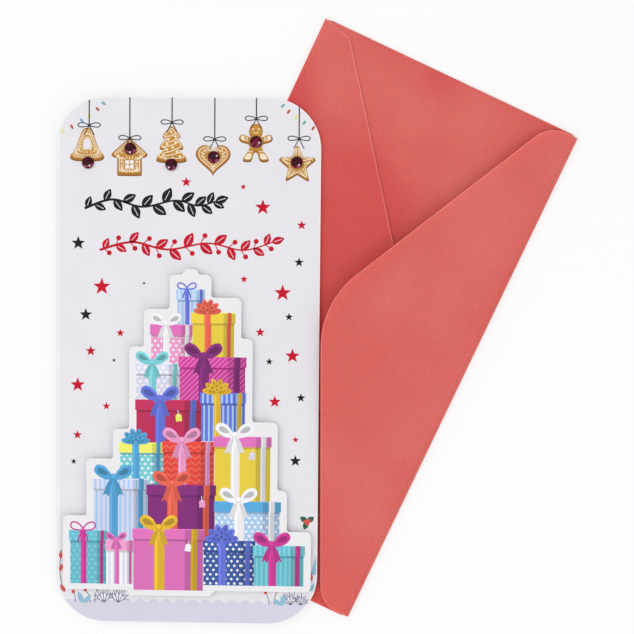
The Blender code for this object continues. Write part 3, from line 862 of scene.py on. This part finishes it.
def house(art, x, y):
    outline = both_sides([
        (0, 7.0), (0.8, 6.8), (6.4, 1.9), (6.8, 1.0), (6.2, 0.3), (4.9, 0.1), (4.7, -0.6),
        (4.7, -6.0), (4.1, -6.8), (0, -6.9),
    ])
    window, pane, half_pane = y - 3.0, 0.9, 0.72
    biscuit(art, outline, x, y)
    filigree(art, outline, x, y - 0.6, 1, 0.58, 0.76)
    for step in range(16):
        angle = pi * step / 8
        reach = 3.1 + 0.8 * abs(sin(2 * angle))
        ends = [away(x, window, share * reach, angle) for share in (0.66, 1)]
        art.line(ends, STROKE, "icing", ICING - 0.5)
    art.line([(x - 5.2, y + 1.1), (x, y + 5.4), (x + 5.2, y + 1.1)], 0.3, "icing", ICING)
    for left in (x - pane, x + pane):
        for low in (window - pane, window + pane):
            edges = (left - half_pane, left + half_pane, low - half_pane, low + half_pane)
            art.shape(rectangle(*edges), "white", ICING)


def fir(art, x, y):
    outline = both_sides([
        (0, 6.9), (0.8, 6.5), (2.9, 4.1), (3.4, 3.2), (3.0, 2.6), (2.1, 2.3), (3.9, 0.2),
        (4.5, -1.0), (4.1, -1.8), (2.8, -2.2), (4.9, -4.2), (5.8, -5.5), (5.4, -6.4), (3.0, -6.8),
        (0, -6.8),
    ])
    garlands = (
        ((-2.4, 2.9), (0.2, 3.3), (2.0, 4.5)), ((-2.2, 0.6), (0.2, 1.0), (1.7, 2.0)),
        ((-3.4, -1.2), (0.2, -0.5), (2.8, 0.9)), ((-3.0, -3.5), (-0.2, -2.9), (2.2, -1.8)),
        ((-4.6, -5.1), (-0.4, -4.4), (3.8, -3.2)),
    )
    baubles = (
        (-0.1, 4.7), (1.5, 3.0), (-1.2, 1.8), (1.6, 0.6), (-1.8, -0.1), (0.5, -1.4), (-1.9, -2.2),
        (2.2, -3.0), (-3.2, -4.2), (0.4, -5.4), (3.4, -4.9), (-2.4, -5.8),
    )
    biscuit(art, outline, x, y)
    for garland in garlands:
        art.line(smooth(motif(garland, x, y)), 0.36, "icing", ICING)
    for bauble in baubles:
        art.dot(*placed(bauble, x, y), 0.5, "icing", ICING, 10)


def heart(art, x, y):
    width, height = 13.4, 11.5
    outline = []
    for step in range(44):
        angle = 2 * pi * step / 44
        across = sin(angle) ** 3
        up = (13 * cos(angle) - 5 * cos(2 * angle) - 2 * cos(3 * angle) - cos(4 * angle)) / 16
        outline.append((-across * width / 2, (up + 0.16) * height / 1.8))
    biscuit(art, outline, x, y)
    filigree(art, outline, x, y + 0.3, 1, 0.50, 0.76)


def figure(art, x, y):
    outline = both_sides([
        (0, 7.6), (1.7, 7.1), (2.6, 5.4), (2.3, 3.6), (1.8, 2.8), (2.8, 2.3), (4.9, 3.3),
        (6.1, 3.0), (6.4, 1.9), (5.6, 0.8), (2.9, 0.0), (2.3, -1.3), (2.8, -2.7), (3.5, -4.0),
        (4.9, -5.8), (4.4, -6.7), (2.0, -6.7), (1.2, -5.0), (0.7, -3.5), (0, -3.1),
    ])
    mitten = ((4.7, 2.9), (5.5, 2.8), (6.0, 2.1), (5.6, 1.3), (4.5, 1.0))
    boot = ((1.7, -4.3), (3.1, -4.2), (4.5, -5.8), (4.2, -6.3), (2.2, -6.3))
    cuffs = (((3.9, 2.5), (4.0, 0.8)), ((3.3, 2.2), (3.4, 0.6)), ((1.2, -3.5), (3.0, -3.2)))
    smile = ((-1.1, 4.4), (-0.5, 3.9), (0.5, 3.9), (1.1, 4.4))
    biscuit(art, outline, x, y, iced=False)
    art.shape(circle(x, y + 5.2, 2.3, 2.3), "ginger", 5.2)
    for flip in (-1, 1):
        for part in (mitten, boot):
            curve = smooth(motif(part, x, y, flip=flip), closed=True, steps=3)
            art.shape(curve, "icing", ICING)
        art.dot(*placed((1.05, 5.5), x, y, flip=flip), 0.38, "icing", ICING, 10)
        for cuff in cuffs:
            art.line(motif(cuff, x, y, flip=flip), 0.28, "icing", ICING)
    art.line(smooth(motif(smile, x, y)), 0.28, "icing", ICING)


def star_biscuit(art, x, y):
    outline = rounded([(*point, 0.5) for point in star(0, 0, 15.4, 0.45)], radians(20))
    biscuit(art, outline, x, y)
    for step in range(5):
        ray = pi / 2 + 2 * pi * step / 5
        for lean in (-0.12, 0.12):
            ends = [away(x, y, 2.6, ray + lean * 2.2), away(x, y, 6.0, ray + lean * 0.5)]
            art.line(ends, STROKE, "icing", ICING - 0.5)


# Hanging biscuits: the biscuit and its middle, the middle of its bow
BISCUITS = (
    (bell, -40.0, 85.9, -39.2, 93.7), (house, -23.2, 81.5, -23.1, 88.8),
    (fir, -6.6, 86.7, -6.4, 95.1), (heart, 9.9, 80.6, 10.5, 88.6),
    (figure, 26.75, 87.3, 26.9, 96.8), (star_biscuit, 43.2, 79.1, 43.8, 89.1),
)


def biscuits():
    art = Print("printed_biscuits")
    for draw, x, y, *_ in BISCUITS:
        draw(art, x, y)
    art.done()


def strings():
    art = Print("printed_strings")
    for *_, x, y in BISCUITS:
        hanging_string(art, x, y)
    art.done()


# Place, colour, turn in degrees
CONFETTI = (
    (-33.5, 102.4, "teal", -38), (-35.9, 100.1, "rust", -48), (-39.2, 97.2, "lime", -80),
    (-42.2, 95.6, "sky", -50), (-46.1, 93.1, "rust", -62), (-49.6, 91.2, "lime", -70),
    (37.3, 102.0, "teal", 40), (39.6, 99.7, "rust", 52), (42.6, 97.5, "lime", 75),
    (45.8, 95.4, "teal", 58), (49.3, 93.3, "rust", 60),
)
# Place, width
RED_STARS = (
    (-0.7, 71.7, 4.0), (21.9, 70.0, 2.4), (29.7, 62.0, 6.2), (45.1, 55.1, 3.8),
    (-34.1, 30.0, 6.9), (22.4, 33.5, 3.0), (37.8, 28.2, 6.6), (-26.7, 11.6, 3.3),
    (29.0, 12.5, 3.8), (-38.5, 4.3, 4.2), (41.9, 3.2, 5.8), (-43.7, -9.3, 5.8),
    (35.0, -15.2, 4.9), (-32.2, -17.7, 3.2), (-43.8, -29.4, 3.6), (43.4, -30.3, 2.6),
)
BLACK_STARS = (
    (-43.5, 47.2, 5.4), (44.2, 40.4, 3.8), (-17.3, 31.5, 1.4), (-40.5, 18.8, 5.0),
    (40.4, 18.7, 3.2), (-29.2, 0.7, 1.6), (32.7, 0.8, 2.9), (45.4, -13.5, 3.6),
    (-45.3, -40.1, 2.4), (43.4, -38.8, 4.6),
)


def stars():
    art = Print("printed_stars")
    for places, name in ((RED_STARS, "red"), (BLACK_STARS, "black")):
        for place in places:
            art.shape(star(*place), name, 2)
    for x, y, name, degrees in CONFETTI:
        art.shape(circle(x, y, 1.05, 0.5, 14, radians(degrees)), name, 1)
    art.done()


def leaf_outline(x, y, length, turn, width):
    """A pointed leaf from its stalk on; width is 1 for a slim one."""
    half = [(0, 0), (0.22, 0.16), (0.55, 0.2), (0.82, 0.11), (1, 0)]
    points = half + [(across, -up) for across, up in half[-2:0:-1]]
    points = [(across, up * width) for across, up in points]
    return smooth(motif(points, x, y, length, turn), closed=True, steps=3)


def veined_leaf(art, x, y, length, turn, name):
    """A leaf with a thin unprinted line along its middle."""
    art.shape(leaf_outline(x, y, length, turn, 1.45), name, 2)
    ends = [away(x, y, share * length, turn) for share in (0.18, 0.8)]
    art.line(ends, 0.24, "paper", 3)


def sprig(art, name, spine, length, spacing, berries=False):
    """A curved twig with leaves on both sides in turn, drawn in one colour."""
    leaf_lean, berry_lean = radians(48), 0.95
    path = smooth(spine, steps=16)
    art.line(path, lambda share: 1.0 - 0.5 * share, name, 2)
    side = 1
    for index in range(spacing // 2, len(path) - 2, spacing):
        here, after = path[index], path[index + 1]
        along = atan2(after.y - here.y, after.x - here.x)
        share = index / len(path)
        size = length * (1.0 - 0.3 * abs(2 * share - 1))
        veined_leaf(art, *here, size, along + side * leaf_lean, name)
        if berries:
            berry = away(*here, size * 0.6, along - side * berry_lean)
            art.line([here, berry], 0.4, name, 2)
            art.dot(*berry, 1.0, name, 3)
        side = -side
    tip, before = path[-1], path[-3]
    veined_leaf(art, *tip, length * 0.8, atan2(tip.y - before.y, tip.x - before.x), name)


def sprigs():
    art = Print("printed_sprigs")
    upper = ((-41.0, 61.0), (-30, 64.6), (-18, 61.8), (-5, 64.4), (4, 62.4), (11.0, 64.2))
    lower = ((-35, 44.6), (-22, 47.8), (-8, 45.0), (8, 47.6), (22, 45.0), (33.4, 48.2))
    sprig(art, "black", upper, 6.6, 5)
    sprig(art, "red", lower, 6.4, 6, berries=True)
    art.done()


def bush(art, x, y, height, lean):
    """A bare bush: branches that fan out from its foot, each with two shoots."""
    fan, shoot_lean = radians(27), radians(38)
    for step in range(-2, 3):
        angle = pi / 2 - lean - fan * step
        length = height * (1 - 0.1 * abs(step))
        knee = away(x, y, 0.5 * length, angle)
        tip = placed((length, 0.06 * step * length), x, y, 1, angle)
        art.line(smooth([(x, y), knee, tip]), 0.24, "twig", 3)
        for side in (-1, 1):
            shoot = away(*knee, 0.36 * length, angle + side * shoot_lean)
            art.line([knee, shoot], 0.18, "twig", 3)


def berry_stem(art, x, y, height, lean):
    top = (x + lean * height, y + height)
    middle = (x + lean * height * 0.2, y + height * 0.5)
    art.line(smooth([(x, y), middle, top]), 0.26, "twig", 3)
    art.dot(*top, 0.75, "berry", 4)


GROUND = -97.0                    # foot of the plants
SCALLOPED = (-24.0, 44.0)         # from where to where the snow's edge is scalloped
SCALLOP_PITCH = 5.3
SCALLOP_DEPTH = 1.7
# Place across, height, lean
BERRY_STEMS = (
    (-44.6, 4.2, -0.2), (-38.6, 5.0, -0.4), (-36.8, 5.8, 0.2), (33.4, 5.0, -0.3), (35.4, 6.0, 0.2),
)
BUSHES = ((-33.0, 6.6, -0.1), (-27.4, 6.8, 0.1), (42.0, 6.0, -0.1), (46.0, 5.0, 0.1))
# Place, turn in degrees, length, colour
GROUND_LEAVES = (
    (-41.7, -97.3, 112, 4.8, "frost"), (-41.2, -97.3, 46, 4.2, "frost"), (-47.6, -91.4, 65, 4.4, "frost"),
    (-48.8, -93.0, 120, 3.6, "berry"), (-50.9, -84.6, 70, 3.2, "berry"), (-50.4, -79.5, 95, 3.0, "berry"),
    (38.4, -97.5, 78, 5.0, "frost"), (38.0, -97.2, 138, 3.8, "frost"), (50.4, -87.0, 112, 4.6, "berry"),
    (49.8, -91.4, 64, 3.4, "frost"),
)


def snow(border):
    """A band along the card's foot, scalloped between its flat ends."""
    right, below = CARD_WIDTH / 2, -CARD_HEIGHT / 2 - 1
    spacing, flat = 0.5, 0.6
    points = [(-right, below), (right, below)]
    for step in range(round(CARD_WIDTH / spacing) + 1):
        x = right - step * spacing
        scallop = abs(sin(pi * x / SCALLOP_PITCH)) if SCALLOPED[0] < x < SCALLOPED[1] else flat
        points.append((x, GROUND + SCALLOP_DEPTH * scallop))
    return clipped(points, border)


def holly(art, x, y):
    """Three leaves round three berries."""
    for turn in (35, 145, 250):
        art.shape(leaf_outline(x, y, 3.3, radians(turn), 1.7), "holly", 3)
    for across, up in ((-0.6, 0.1), (0.8, 0.3), (0.2, -0.8)):
        art.dot(x + across, y + up, 0.75, "berry", 4)


def winter_ground():
    """Snow along the foot, and small plants at both ends."""
    art = Print("printed_ground")
    unfolded = rectangle(FOLD_LINE + PRINT_MARGIN, CARD_WIDTH, -CARD_HEIGHT, CARD_HEIGHT)
    border = clipped(inset(card_points(), CARD_EDGE, closed=True), unfolded)
    art.shape(snow(border), "snow", 1)
    for x, height, lean in BERRY_STEMS:
        berry_stem(art, x, GROUND, height, lean)
    for x, height, lean in BUSHES:
        bush(art, x, GROUND, height, lean)
    for x, y, turn, length, name in GROUND_LEAVES:
        outline = leaf_outline(x, y, length, radians(turn), 1.15)
        art.shape(clipped(outline, border), name, 4)
    art.line(smooth([(-50.0, -90.0), (-50.9, -84.0), (-50.2, -76.0)]), 0.28, "twig", 3)
    tree = [(53.6, -71.5), (49.8, -84.6), (57.4, -84.6)]
    art.shape(clipped(tree, border), "frost", 3)
    holly(art, 48.3, -63.2)
    art.done()


# The raised picture's steps on each side: distance from the card's middle line, height
LEFT_STEPS = ((49.2, -61.5), (39.8, -38.5), (29.2, -26.5), (22.8, 6.5), (17.0, 21.5), (6.8, 35.2))
RIGHT_STEPS = ((50.0, -67.0), (40.3, -50.5), (36.4, -23.2), (26.2, 10.0), (21.6, 26.2), (9.7, 35.2))
STACK_FOOT = -91.2
STACK_MIDDLE_FOOT = -93.4
STACK_MIDDLE = (-23.5, 9.5)
STACK_BOARD = 0.28                # the rest of the node's thickness is ink
STACK_EDGE = 0.28
STACK_BEVEL = 0.07
STACK_CORNER = 2.2
STACK_NOOK = 1.2


def stack_outline():
    """Stepped outline of the raised picture, anticlockwise from the foot's left end."""
    left, right = STACK_MIDDLE
    points = [
        (-LEFT_STEPS[0][0], STACK_FOOT, STACK_CORNER), (left, STACK_FOOT, STACK_NOOK),
        (left, STACK_MIDDLE_FOOT, STACK_NOOK), (right, STACK_MIDDLE_FOOT, STACK_NOOK),
        (right + STACK_FOOT - STACK_MIDDLE_FOOT, STACK_FOOT, STACK_NOOK),
        (RIGHT_STEPS[0][0], STACK_FOOT, STACK_CORNER),
    ]
    for step, (reach, top) in enumerate(RIGHT_STEPS):
        points.append((reach, top, STACK_CORNER))
        if step + 1 < len(RIGHT_STEPS):
            points.append((RIGHT_STEPS[step + 1][0], top, STACK_NOOK))
    middle = (RIGHT_STEPS[-1][0] - LEFT_STEPS[-1][0]) / 2
    top = LEFT_STEPS[-1][1]
    bump = ((3.5, 0), (2.1, 2.2), (-2.1, 2.2), (-3.5, 0))
    points += [(middle + across, top + up, STACK_NOOK) for across, up in bump]
    for step in reversed(range(len(LEFT_STEPS))):
        reach, top = LEFT_STEPS[step]
        points.append((-reach, top, STACK_CORNER))
        if step > 0:
            points.append((-reach, LEFT_STEPS[step - 1][1], STACK_NOOK))
    return rounded(points, radians(10))


def stack_board():
    built = ringed(stack_outline(), STACK_EDGE, closed=True)
    for vertex in built.verts:
        vertex.co.z = STACK_Z + STACK_BOARD / 2
    materials = (STACK_FRONT, CARD_CUT, CARD_CUT)
    made = sheet("gift_stack_board", built, CARD, materials, STACK_BOARD, STACK_BEVEL)
    dressed(made, "card_cover", "stack_board", "raised_gift_stack")


# Gift boxes from the back to the front: left, right, foot, top, colour, pattern, its colour,
# lid, ribbon, kind of bow
GIFTS = (
    (-4.2, 7.2, 14.0, 29.4, "pale_blue", "stripes", "lilac", "pale_blue", "violet", "string"),
    (-14.6, 2.6, -1.0, 15.4, "rose", "dots", "white", "pink", "white", "classic"),
    (1.8, 19.3, 1.0, 20.2, "yellow", "plain", "gold", "yellow", "coral", "rosette"),
    (-20.4, -2.0, -17.0, -0.2, "lilac", "checks", "white", "lilac", "aqua", "classic"),
    (-3.2, 23.8, -15.0, 2.6, "magenta", "diagonals", "pink", "magenta", "plum", "classic"),
    (-20.4, 6.4, -34.0, -14.6, "crimson", "plain", "crimson", "crimson", "violet", "classic"),
    (5.4, 23.8, -31.0, -11.6, "violet", "stripes", "pale_blue", "violet", "gold", "rosette"),
    (-26.8, -8.6, -52.0, -31.8, "aqua", "dots", "white", "lemon", "blue", "rosette"),
    (-9.6, 11.6, -54.0, -31.2, "scarlet", "chevrons", "coral", "scarlet", "rose", "classic"),
    (10.8, 34.0, -57.0, -29.0, "yellow", "plain", "yellow", "pink", "white", "classic"),
    (-37.4, -14.8, -72.0, -46.4, "lilac", "stripes", "pale_blue", "lilac", "blue", "classic"),
    (-15.8, 12.0, -72.0, -48.6, "plum", "plain", "plum", "plum", "coral", "classic"),
    (11.2, 37.9, -75.0, -55.0, "pale_blue", "stars", "white", "blue", "white", "classic"),
    (-46.8, -31.4, -88.9, -67.4, "turquoise", "checks", "aqua", "turquoise", "magenta", "string"),
    (-32.2, -20.4, -88.9, -71.2, "white", "stripes", "lilac", "rose", "pink", "classic"),
    (6.6, 27.8, -88.9, -70.8, "navy", "dots", "white", "navy", "violet", "rosette"),
    (26.8, 47.6, -88.9, -72.6, "turquoise", "stripes", "aqua", "turquoise", "magenta", "classic"),
    (-21.4, 7.4, -91.2, -66.4, "pink", "plain", "pink", "pink", "gold", "classic"),
)
# Place, turn, colour
TAGS = (
    (-3.4, -18.6, 0.12, "lemon"), (26.6, -33.6, -0.1, "lilac"), (6.2, -53.0, 0.08, "rose"),
    (1.4, -70.8, -0.15, "white"),
)
SHADED_SHARE = 0.27               # of a box's width, at its right
SHADE = 0.86
LID = 4.2
LID_OVERLAP = 0.5
LID_SHADOW = 0.8
LID_LIGHT = 1.04
LID_TOP = 0.35                    # height of the light line along a lid's top
RIBBON = 0.075                    # half a ribbon's width, as a share of its box's
SHADED_RIBBON = 0.6               # the same in the shade, as a share of the one in front
BOW_LAYER = 6
SPOTS = {
    "dots": lambda x, y: circle(x, y, 0.52, 0.52, 10),
    "stars": lambda x, y: star(x, y, 1.8),
    "checks": lambda x, y: rectangle(x - 0.5, x + 0.5, y - 0.5, y + 0.5),
}


def stepped(low, high, step):
    """Values from low on, a step apart, that are less than high."""
    return [low + step * index for index in range(ceil((high - low) / step))]


def pattern_shapes(kind, x0, x1, y0, y1):
    """Outlines of a pattern, cut off at the edges of a face."""
    rise = y1 - y0
    shapes = []
    if kind == "stripes":
        shapes = [rectangle(x, x + 0.75, y0, y1) for x in stepped(x0 + 0.8, x1, 1.9)]
    elif kind == "diagonals":
        band = 0.8
        for x in stepped(x0 - rise, x1, 2.1):
            shapes.append([(x, y0), (x + band, y0), (x + rise + band, y1), (x + rise, y1)])
    elif kind == "chevrons":
        half, band = 1.6, 0.9
        for y in stepped(y0 - 1.5, y1, 2.4):
            top = y + 1.3
            for x in stepped(x0, x1, 2 * half):
                ridge, end = x + half, x + 2 * half
                shapes.append([(x, y), (ridge, top), (ridge, top + band), (x, y + band)])
                shapes.append([(ridge, top), (end, y), (end, y + band), (ridge, top + band)])
    elif kind in SPOTS:
        for row, y in enumerate(stepped(y0 + 0.8, y1, 1.8)):
            for x in stepped(x0 + 0.4 + 1.2 * (row % 2), x1, 2.4):
                shapes.append(SPOTS[kind](x, y))
    parts = [clipped(shape, rectangle(x0, x1, y0, y1)) for shape in shapes]
    return [part for part in parts if area(part) > SPECK]


def gift_faces(x0, x1, y0, y1):
    """Where a gift's body and its lid stand: left, right, foot, top."""
    return (x0 + LID_OVERLAP, x1 - LID_OVERLAP, y0, y1 - LID), (x0, x1, y1 - LID, y1)


def gift_shapes(x0, x1, y0, y1, colour, pattern, second, lid_colour, ribbon):
    """Flat shapes of a box, its lid and its ribbons: outline, ink and layer.

    A lid of the box's own colour has its pattern too.
    """
    corner = x1 - (x1 - x0) * SHADED_SHARE
    body, lid = gift_faces(x0, x1, y0, y1)
    shapes = []
    for (left, right, foot, top), name, light in ((body, colour, 1.0), (lid, lid_colour, LID_LIGHT)):
        for start, end, shade in ((left, corner, light), (corner, right, light * SHADE)):
            shapes.append((rectangle(start, end, foot, top), ink(name, shade), 1))
            if name == colour:
                for outline in pattern_shapes(pattern, start, end, foot, top):
                    shapes.append((outline, ink(second, shade), 2))
            half = RIBBON * (x1 - x0) * (1 if start == left else SHADED_RIBBON)
            middle = (start + end) / 2
            band = rectangle(middle - half, middle + half, foot, top)
            shine = rectangle(middle - half * 0.75, middle - half * 0.35, foot, top)
            shapes.append((band, ink(ribbon, shade * 0.97), 4))
            shapes.append((shine, ink(ribbon, shade * 1.12), 5))
    for start, end, shade in ((body[0], corner, 0.84), (corner, body[1], 0.72)):
        shadow = rectangle(start, end, lid[2] - LID_SHADOW, lid[2])
        shapes.append((shadow, ink(colour, shade), 3))
    shapes.append((rectangle(x0, x1, y1 - LID_TOP, y1), ink(lid_colour, 1.12), 3))
    return shapes


def seen_parts(outline, nearer):
    """The parts of an outline that nearer faces leave in sight."""
    parts = [[Vector(point) for point in outline]]
    for face in nearer:
        parts = [kept for part in parts for kept in outside(part, *face)]
    return parts


def classic_bow(art, x, y, size, name):
    loop = ((0.05, 0.02), (0.42, 0.62), (0.9, 0.78), (1.12, 0.46), (0.88, 0.12), (0.42, -0.1))
    hollow = ((0.3, 0.2), (0.56, 0.5), (0.84, 0.58), (0.92, 0.38), (0.68, 0.2))
    shine = ((0.3, 0.5), (0.62, 0.72), (0.92, 0.74), (0.9, 0.68), (0.62, 0.64), (0.34, 0.42))
    tail = ((0.02, 0), (0.34, -0.3), (0.62, -1.05), (0.42, -0.92), (0.26, -1.1), (0.1, -0.4))
    for flip in (-1, 1):
        art.shape(motif(tail, x, y, size, flip=flip), ink(name, 0.9), BOW_LAYER)
        for points, shade, lift in ((loop, 1.0, 0.5), (hollow, 0.78, 1.0), (shine, 1.12, 1.5)):
            curve = smooth(motif(points, x, y, size, flip=flip), closed=True, steps=4)
            art.shape(curve, ink(name, shade), BOW_LAYER + lift)
    for up, half, shade, lift in ((0.08, 0.2, 0.92, 2), (0.1, 0.15, 1.08, 2.5)):
        knot = circle(x, y + size * up, size * half, size * (half - 0.02), 12)
        art.shape(knot, ink(name, shade), BOW_LAYER + lift)


def rosette_bow(art, x, y, size, name):
    """Loops that fan out, the outer ones first."""
    for count, reach, lift in ((6, 0.95, 0.0), (5, 0.68, 1.0), (3, 0.36, 2.0)):
        for step in range(count):
            angle = pi * (0.04 + 0.92 * step / (count - 1))
            place = (x + size * reach * 0.55 * cos(angle), y + size * reach * 0.5 * sin(angle))
            loop = circle(*place, size * reach * 0.5, size * 0.22, 14, angle)
            hollow = circle(*place, size * reach * 0.3, size * 0.1, 10, angle)
            art.shape(loop, ink(name, 0.95 + 0.07 * (step % 2)), BOW_LAYER + lift)
            art.shape(hollow, ink(name, 0.8), BOW_LAYER + lift + 0.5)


def string_bow(art, x, y, size, name):
    loop = ((0, 0), (0.35, 0.5), (0.85, 0.62), (1.0, 0.28), (0.7, 0.02))
    tail = ((0, 0), (0.3, -0.5), (0.42, -1.0))
    for flip in (-1, 1):
        curve = smooth(motif(loop, x, y, size, flip=flip), closed=True)
        art.line(curve, 0.55, name, BOW_LAYER + 0.5, closed=True)
        art.line(smooth(motif(tail, x, y, size, flip=flip)), 0.5, ink(name, 0.9), BOW_LAYER)
    art.dot(x, y, 0.6, ink(name, 1.1), BOW_LAYER + 1)


BOWS = {"classic": classic_bow, "rosette": rosette_bow, "string": string_bow}


def gift_bow(art, x0, x1, top, ribbon, kind):
    """A bow on the lid, over the front ribbon."""
    middle = (x0 + x1 - (x1 - x0) * SHADED_SHARE) / 2
    size = min(6.8, (x1 - x0) * 0.32)
    BOWS[kind](art, middle, top + 0.2, size, ribbon)


def tag(art, x, y, turn, name):
    """A small label on a thread."""
    label = [(-1.2, -4.6), (1.2, -4.6), (1.2, -2.3), (0.6, -1.6), (-0.6, -1.6), (-1.2, -2.3)]
    art.line([(x, y), placed((0, -1.8), x, y, 1, turn)], 0.22, "white", 8)
    art.shape(motif(label, x, y, 1.0, turn), name, 7)
    art.dot(*placed((0, -2.2), x, y, 1, turn), 0.28, "white", 9, 8)


def gift_stack():
    """Boxes in rows that get longer towards the foot, each in front of the ones above it."""
    stack_board()
    art = Print("printed_gifts", STACK_Z + STACK_BOARD)
    for index, gift in enumerate(GIFTS):
        nearer = [face for other in GIFTS[index + 1:] for face in gift_faces(*other[:4])]
        for outline, colour, layer in gift_shapes(*gift[:-1]):
            for part in seen_parts(outline, nearer):
                art.shape(part, colour, layer)
    for x0, x1, _, top, *_, ribbon, kind in GIFTS:
        gift_bow(art, x0, x1, top, ribbon, kind)
    for place in TAGS:
        tag(art, *place)
    art.done("stack_board")


STONES = 6
STONE_SIDES = 8
# Tones of a cut stone's facets: its own dark wine reds, a pale painted reflection and a painted glint
STONE_TONES_AND_REFLECTIONS = {
    "deep": (56, 4, 22), "wine": (114, 12, 46), "pale": (154, 82, 112), "painted_glint": (246, 226, 236),
}


def cut_stone(size, turn):
    """Mesh of a stone: flat back, girdle, a crown of two rows of facets, and a table."""
    built = bmesh.new()

    def ring(share, height, count, offset=0.0):
        made = []
        for step in range(count):
            angle = turn + 2 * pi * (step + offset) / count
            across, up = size.x / 2 * share * cos(angle), size.y / 2 * share * sin(angle)
            made.append(built.verts.new((across, up, size.z * height)))
        return made

    back = ring(0.96, 0, 2 * STONE_SIDES)
    girdle = ring(1, 0.22, 2 * STONE_SIDES)
    crown = ring(0.8, 0.66, STONE_SIDES, 0.5)
    table = ring(0.5, 1, STONE_SIDES)
    built.faces.new(back[::-1])
    built.faces.new(table)
    for step in range(2 * STONE_SIDES):
        after = (step + 1) % (2 * STONE_SIDES)
        built.faces.new((back[step], back[after], girdle[after], girdle[step]))
        built.faces.new((girdle[step], girdle[after], crown[step // 2]))
    for step in range(STONE_SIDES):
        after = (step + 1) % STONE_SIDES
        built.faces.new((girdle[2 * after], crown[after], crown[step]))
        built.faces.new((crown[step], crown[after], table[after]))
        built.faces.new((crown[step], table[after], table[step]))
    return built


def stone(number, materials):
    """A stone in its node's place; its lower facets get more of the pale painted reflection, and one
    facet the painted glint.
    """
    low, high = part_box(f"rhinestone_{number}")
    size = (high - low) / MM
    middle = (low + high) / 2
    matrix = Matrix.Translation((middle.x, middle.y, low.z)) @ Matrix.Scale(MM, 4)
    built = cut_stone(size, radians(11 * number))
    for index, face in enumerate(built.faces):
        lower = face.calc_center_median().y < -0.25 * size.y / 2
        tones = (2, 1, 2, 0, 1) if lower else (0, 0, 1, 0, 0)
        face.material_index = tones[(index * 7 + number * 3) % len(tones)]
    built.faces.ensure_lookup_table()
    # One facet gets the painted glint.
    built.faces[-1 - 3 * (number % 4)].material_index = 3
    made = finished(f"cut_stone_{number}", built, matrix, materials)
    dressed(made, "card_cover", "rhinestone", f"rhinestone_{number}")


def stones():
    finish = {"roughness": 0.12, "grain": 0.06, "bump": 0.0, "gloss": 0.1}
    tones = STONE_TONES_AND_REFLECTIONS.items()
    materials = [coated_material("stone_" + name, colour, **finish) for name, colour in tones]
    for number in range(1, STONES + 1):
        stone(number, materials)


def carried_over():
    """Nodes that keep their own shape and get a better finish."""
    finishes = {
        "closure_flap_gum": GUM, "seam_gum_head": GUM, "seam_gum_foot": GUM,
        "money_pocket_panel": POCKET, "pocket_glue_left": GLUE,
        "pocket_glue_right": GLUE, "pocket_glue_foot": GLUE,
    }
    for name, node in frame["nodes"].items():
        finish = FOAM if name.startswith("foam_pad") else finishes.get(name)
        if finish:
            node.data.materials.clear()
            node.data.materials.append(finish)


CAMERA_PLACE = (0.01867, 0.04832, 0.7006)
CAMERA_TURN = (-3.714, 1.499, 0.537)
WORLD_LEVEL = 0.68
FLOOR_GREY = 0.88
FLOOR_SIZE = 2.0
FLOOR_Z = -0.05
FLOOR_SHADOW = 0.4                # share of the floor's white that a shadow can take away


def camera():
    data = bpy.data.cameras.new("camera")
    data.lens = 100
    data.sensor_width = 36
    made = in_scene("camera", data)
    made.location = CAMERA_PLACE
    made.rotation_euler = [radians(angle) for angle in CAMERA_TURN]
    bpy.context.scene.camera = made


def area_light(name, place, size, power):
    """A square light that faces the middle of the table."""
    data = bpy.data.lights.new(name, "AREA")
    data.shape = "SQUARE"
    data.size = size
    data.energy = power
    made = in_scene(name, data)
    made.location = place
    made.rotation_euler = (-Vector(place)).to_track_quat("-Z", "Y").to_euler()


def world():
    """Plain light from all sides, and white where it is seen directly."""
    made = Shading(bpy.data.worlds.new("studio"))
    bpy.context.scene.world = made.owner
    levels = {"Value": made.seen_directly(), "To Min": WORLD_LEVEL, "To Max": 1.0}
    strength = made.add("MapRange", levels)
    made.fill(made.nodes["Background"], {"Color": WHITE, "Strength": strength})


def floor():
    """White where the camera sees it, with the object's shadow kept."""
    made = Shading(bpy.data.materials.new("floor"))
    made.nodes.remove(made.nodes["Principled BSDF"])
    plain = made.add("BsdfDiffuse", {"Color": (FLOOR_GREY, FLOOR_GREY, FLOOR_GREY, 1)})
    bright = made.add("BsdfDiffuse", {"Color": WHITE})
    glow = made.add("Emission", {"Color": WHITE, "Strength": 1.0})
    seen = made.add("MixShader", {"Fac": FLOOR_SHADOW, 1: glow, 2: bright})
    chosen = made.add("MixShader", {"Fac": made.seen_directly(), 1: plain, 2: seen})
    made.fill(made.nodes["Material Output"], {"Surface": chosen})
    built = bmesh.new()
    bmesh.ops.create_grid(built, x_segments=1, y_segments=1, size=FLOOR_SIZE)
    finished("floor", built, Matrix.Translation((0, 0, FLOOR_Z * MM)), (made.owner,))


camera()
area_light("upper_softbox", (-0.45, 0.10, 1.00), 1.1, 3.5)
area_light("right_softbox", (0.50, -0.72, 0.62), 0.9, 2.0)
world()
floor()
bpy.context.scene.view_settings.view_transform = "Standard"

front_panel()
side_flap("head", edge_frame(0, ENVELOPE_LENGTH / 2, -pi / 2))
side_flap("foot", edge_frame(0, -ENVELOPE_LENGTH / 2, pi / 2))
bottom_flap()
closure_flap()
closure_crease()
card()
strings()
stars()
biscuits()
sprigs()
winter_ground()
gift_stack()
stones()
carried_over()
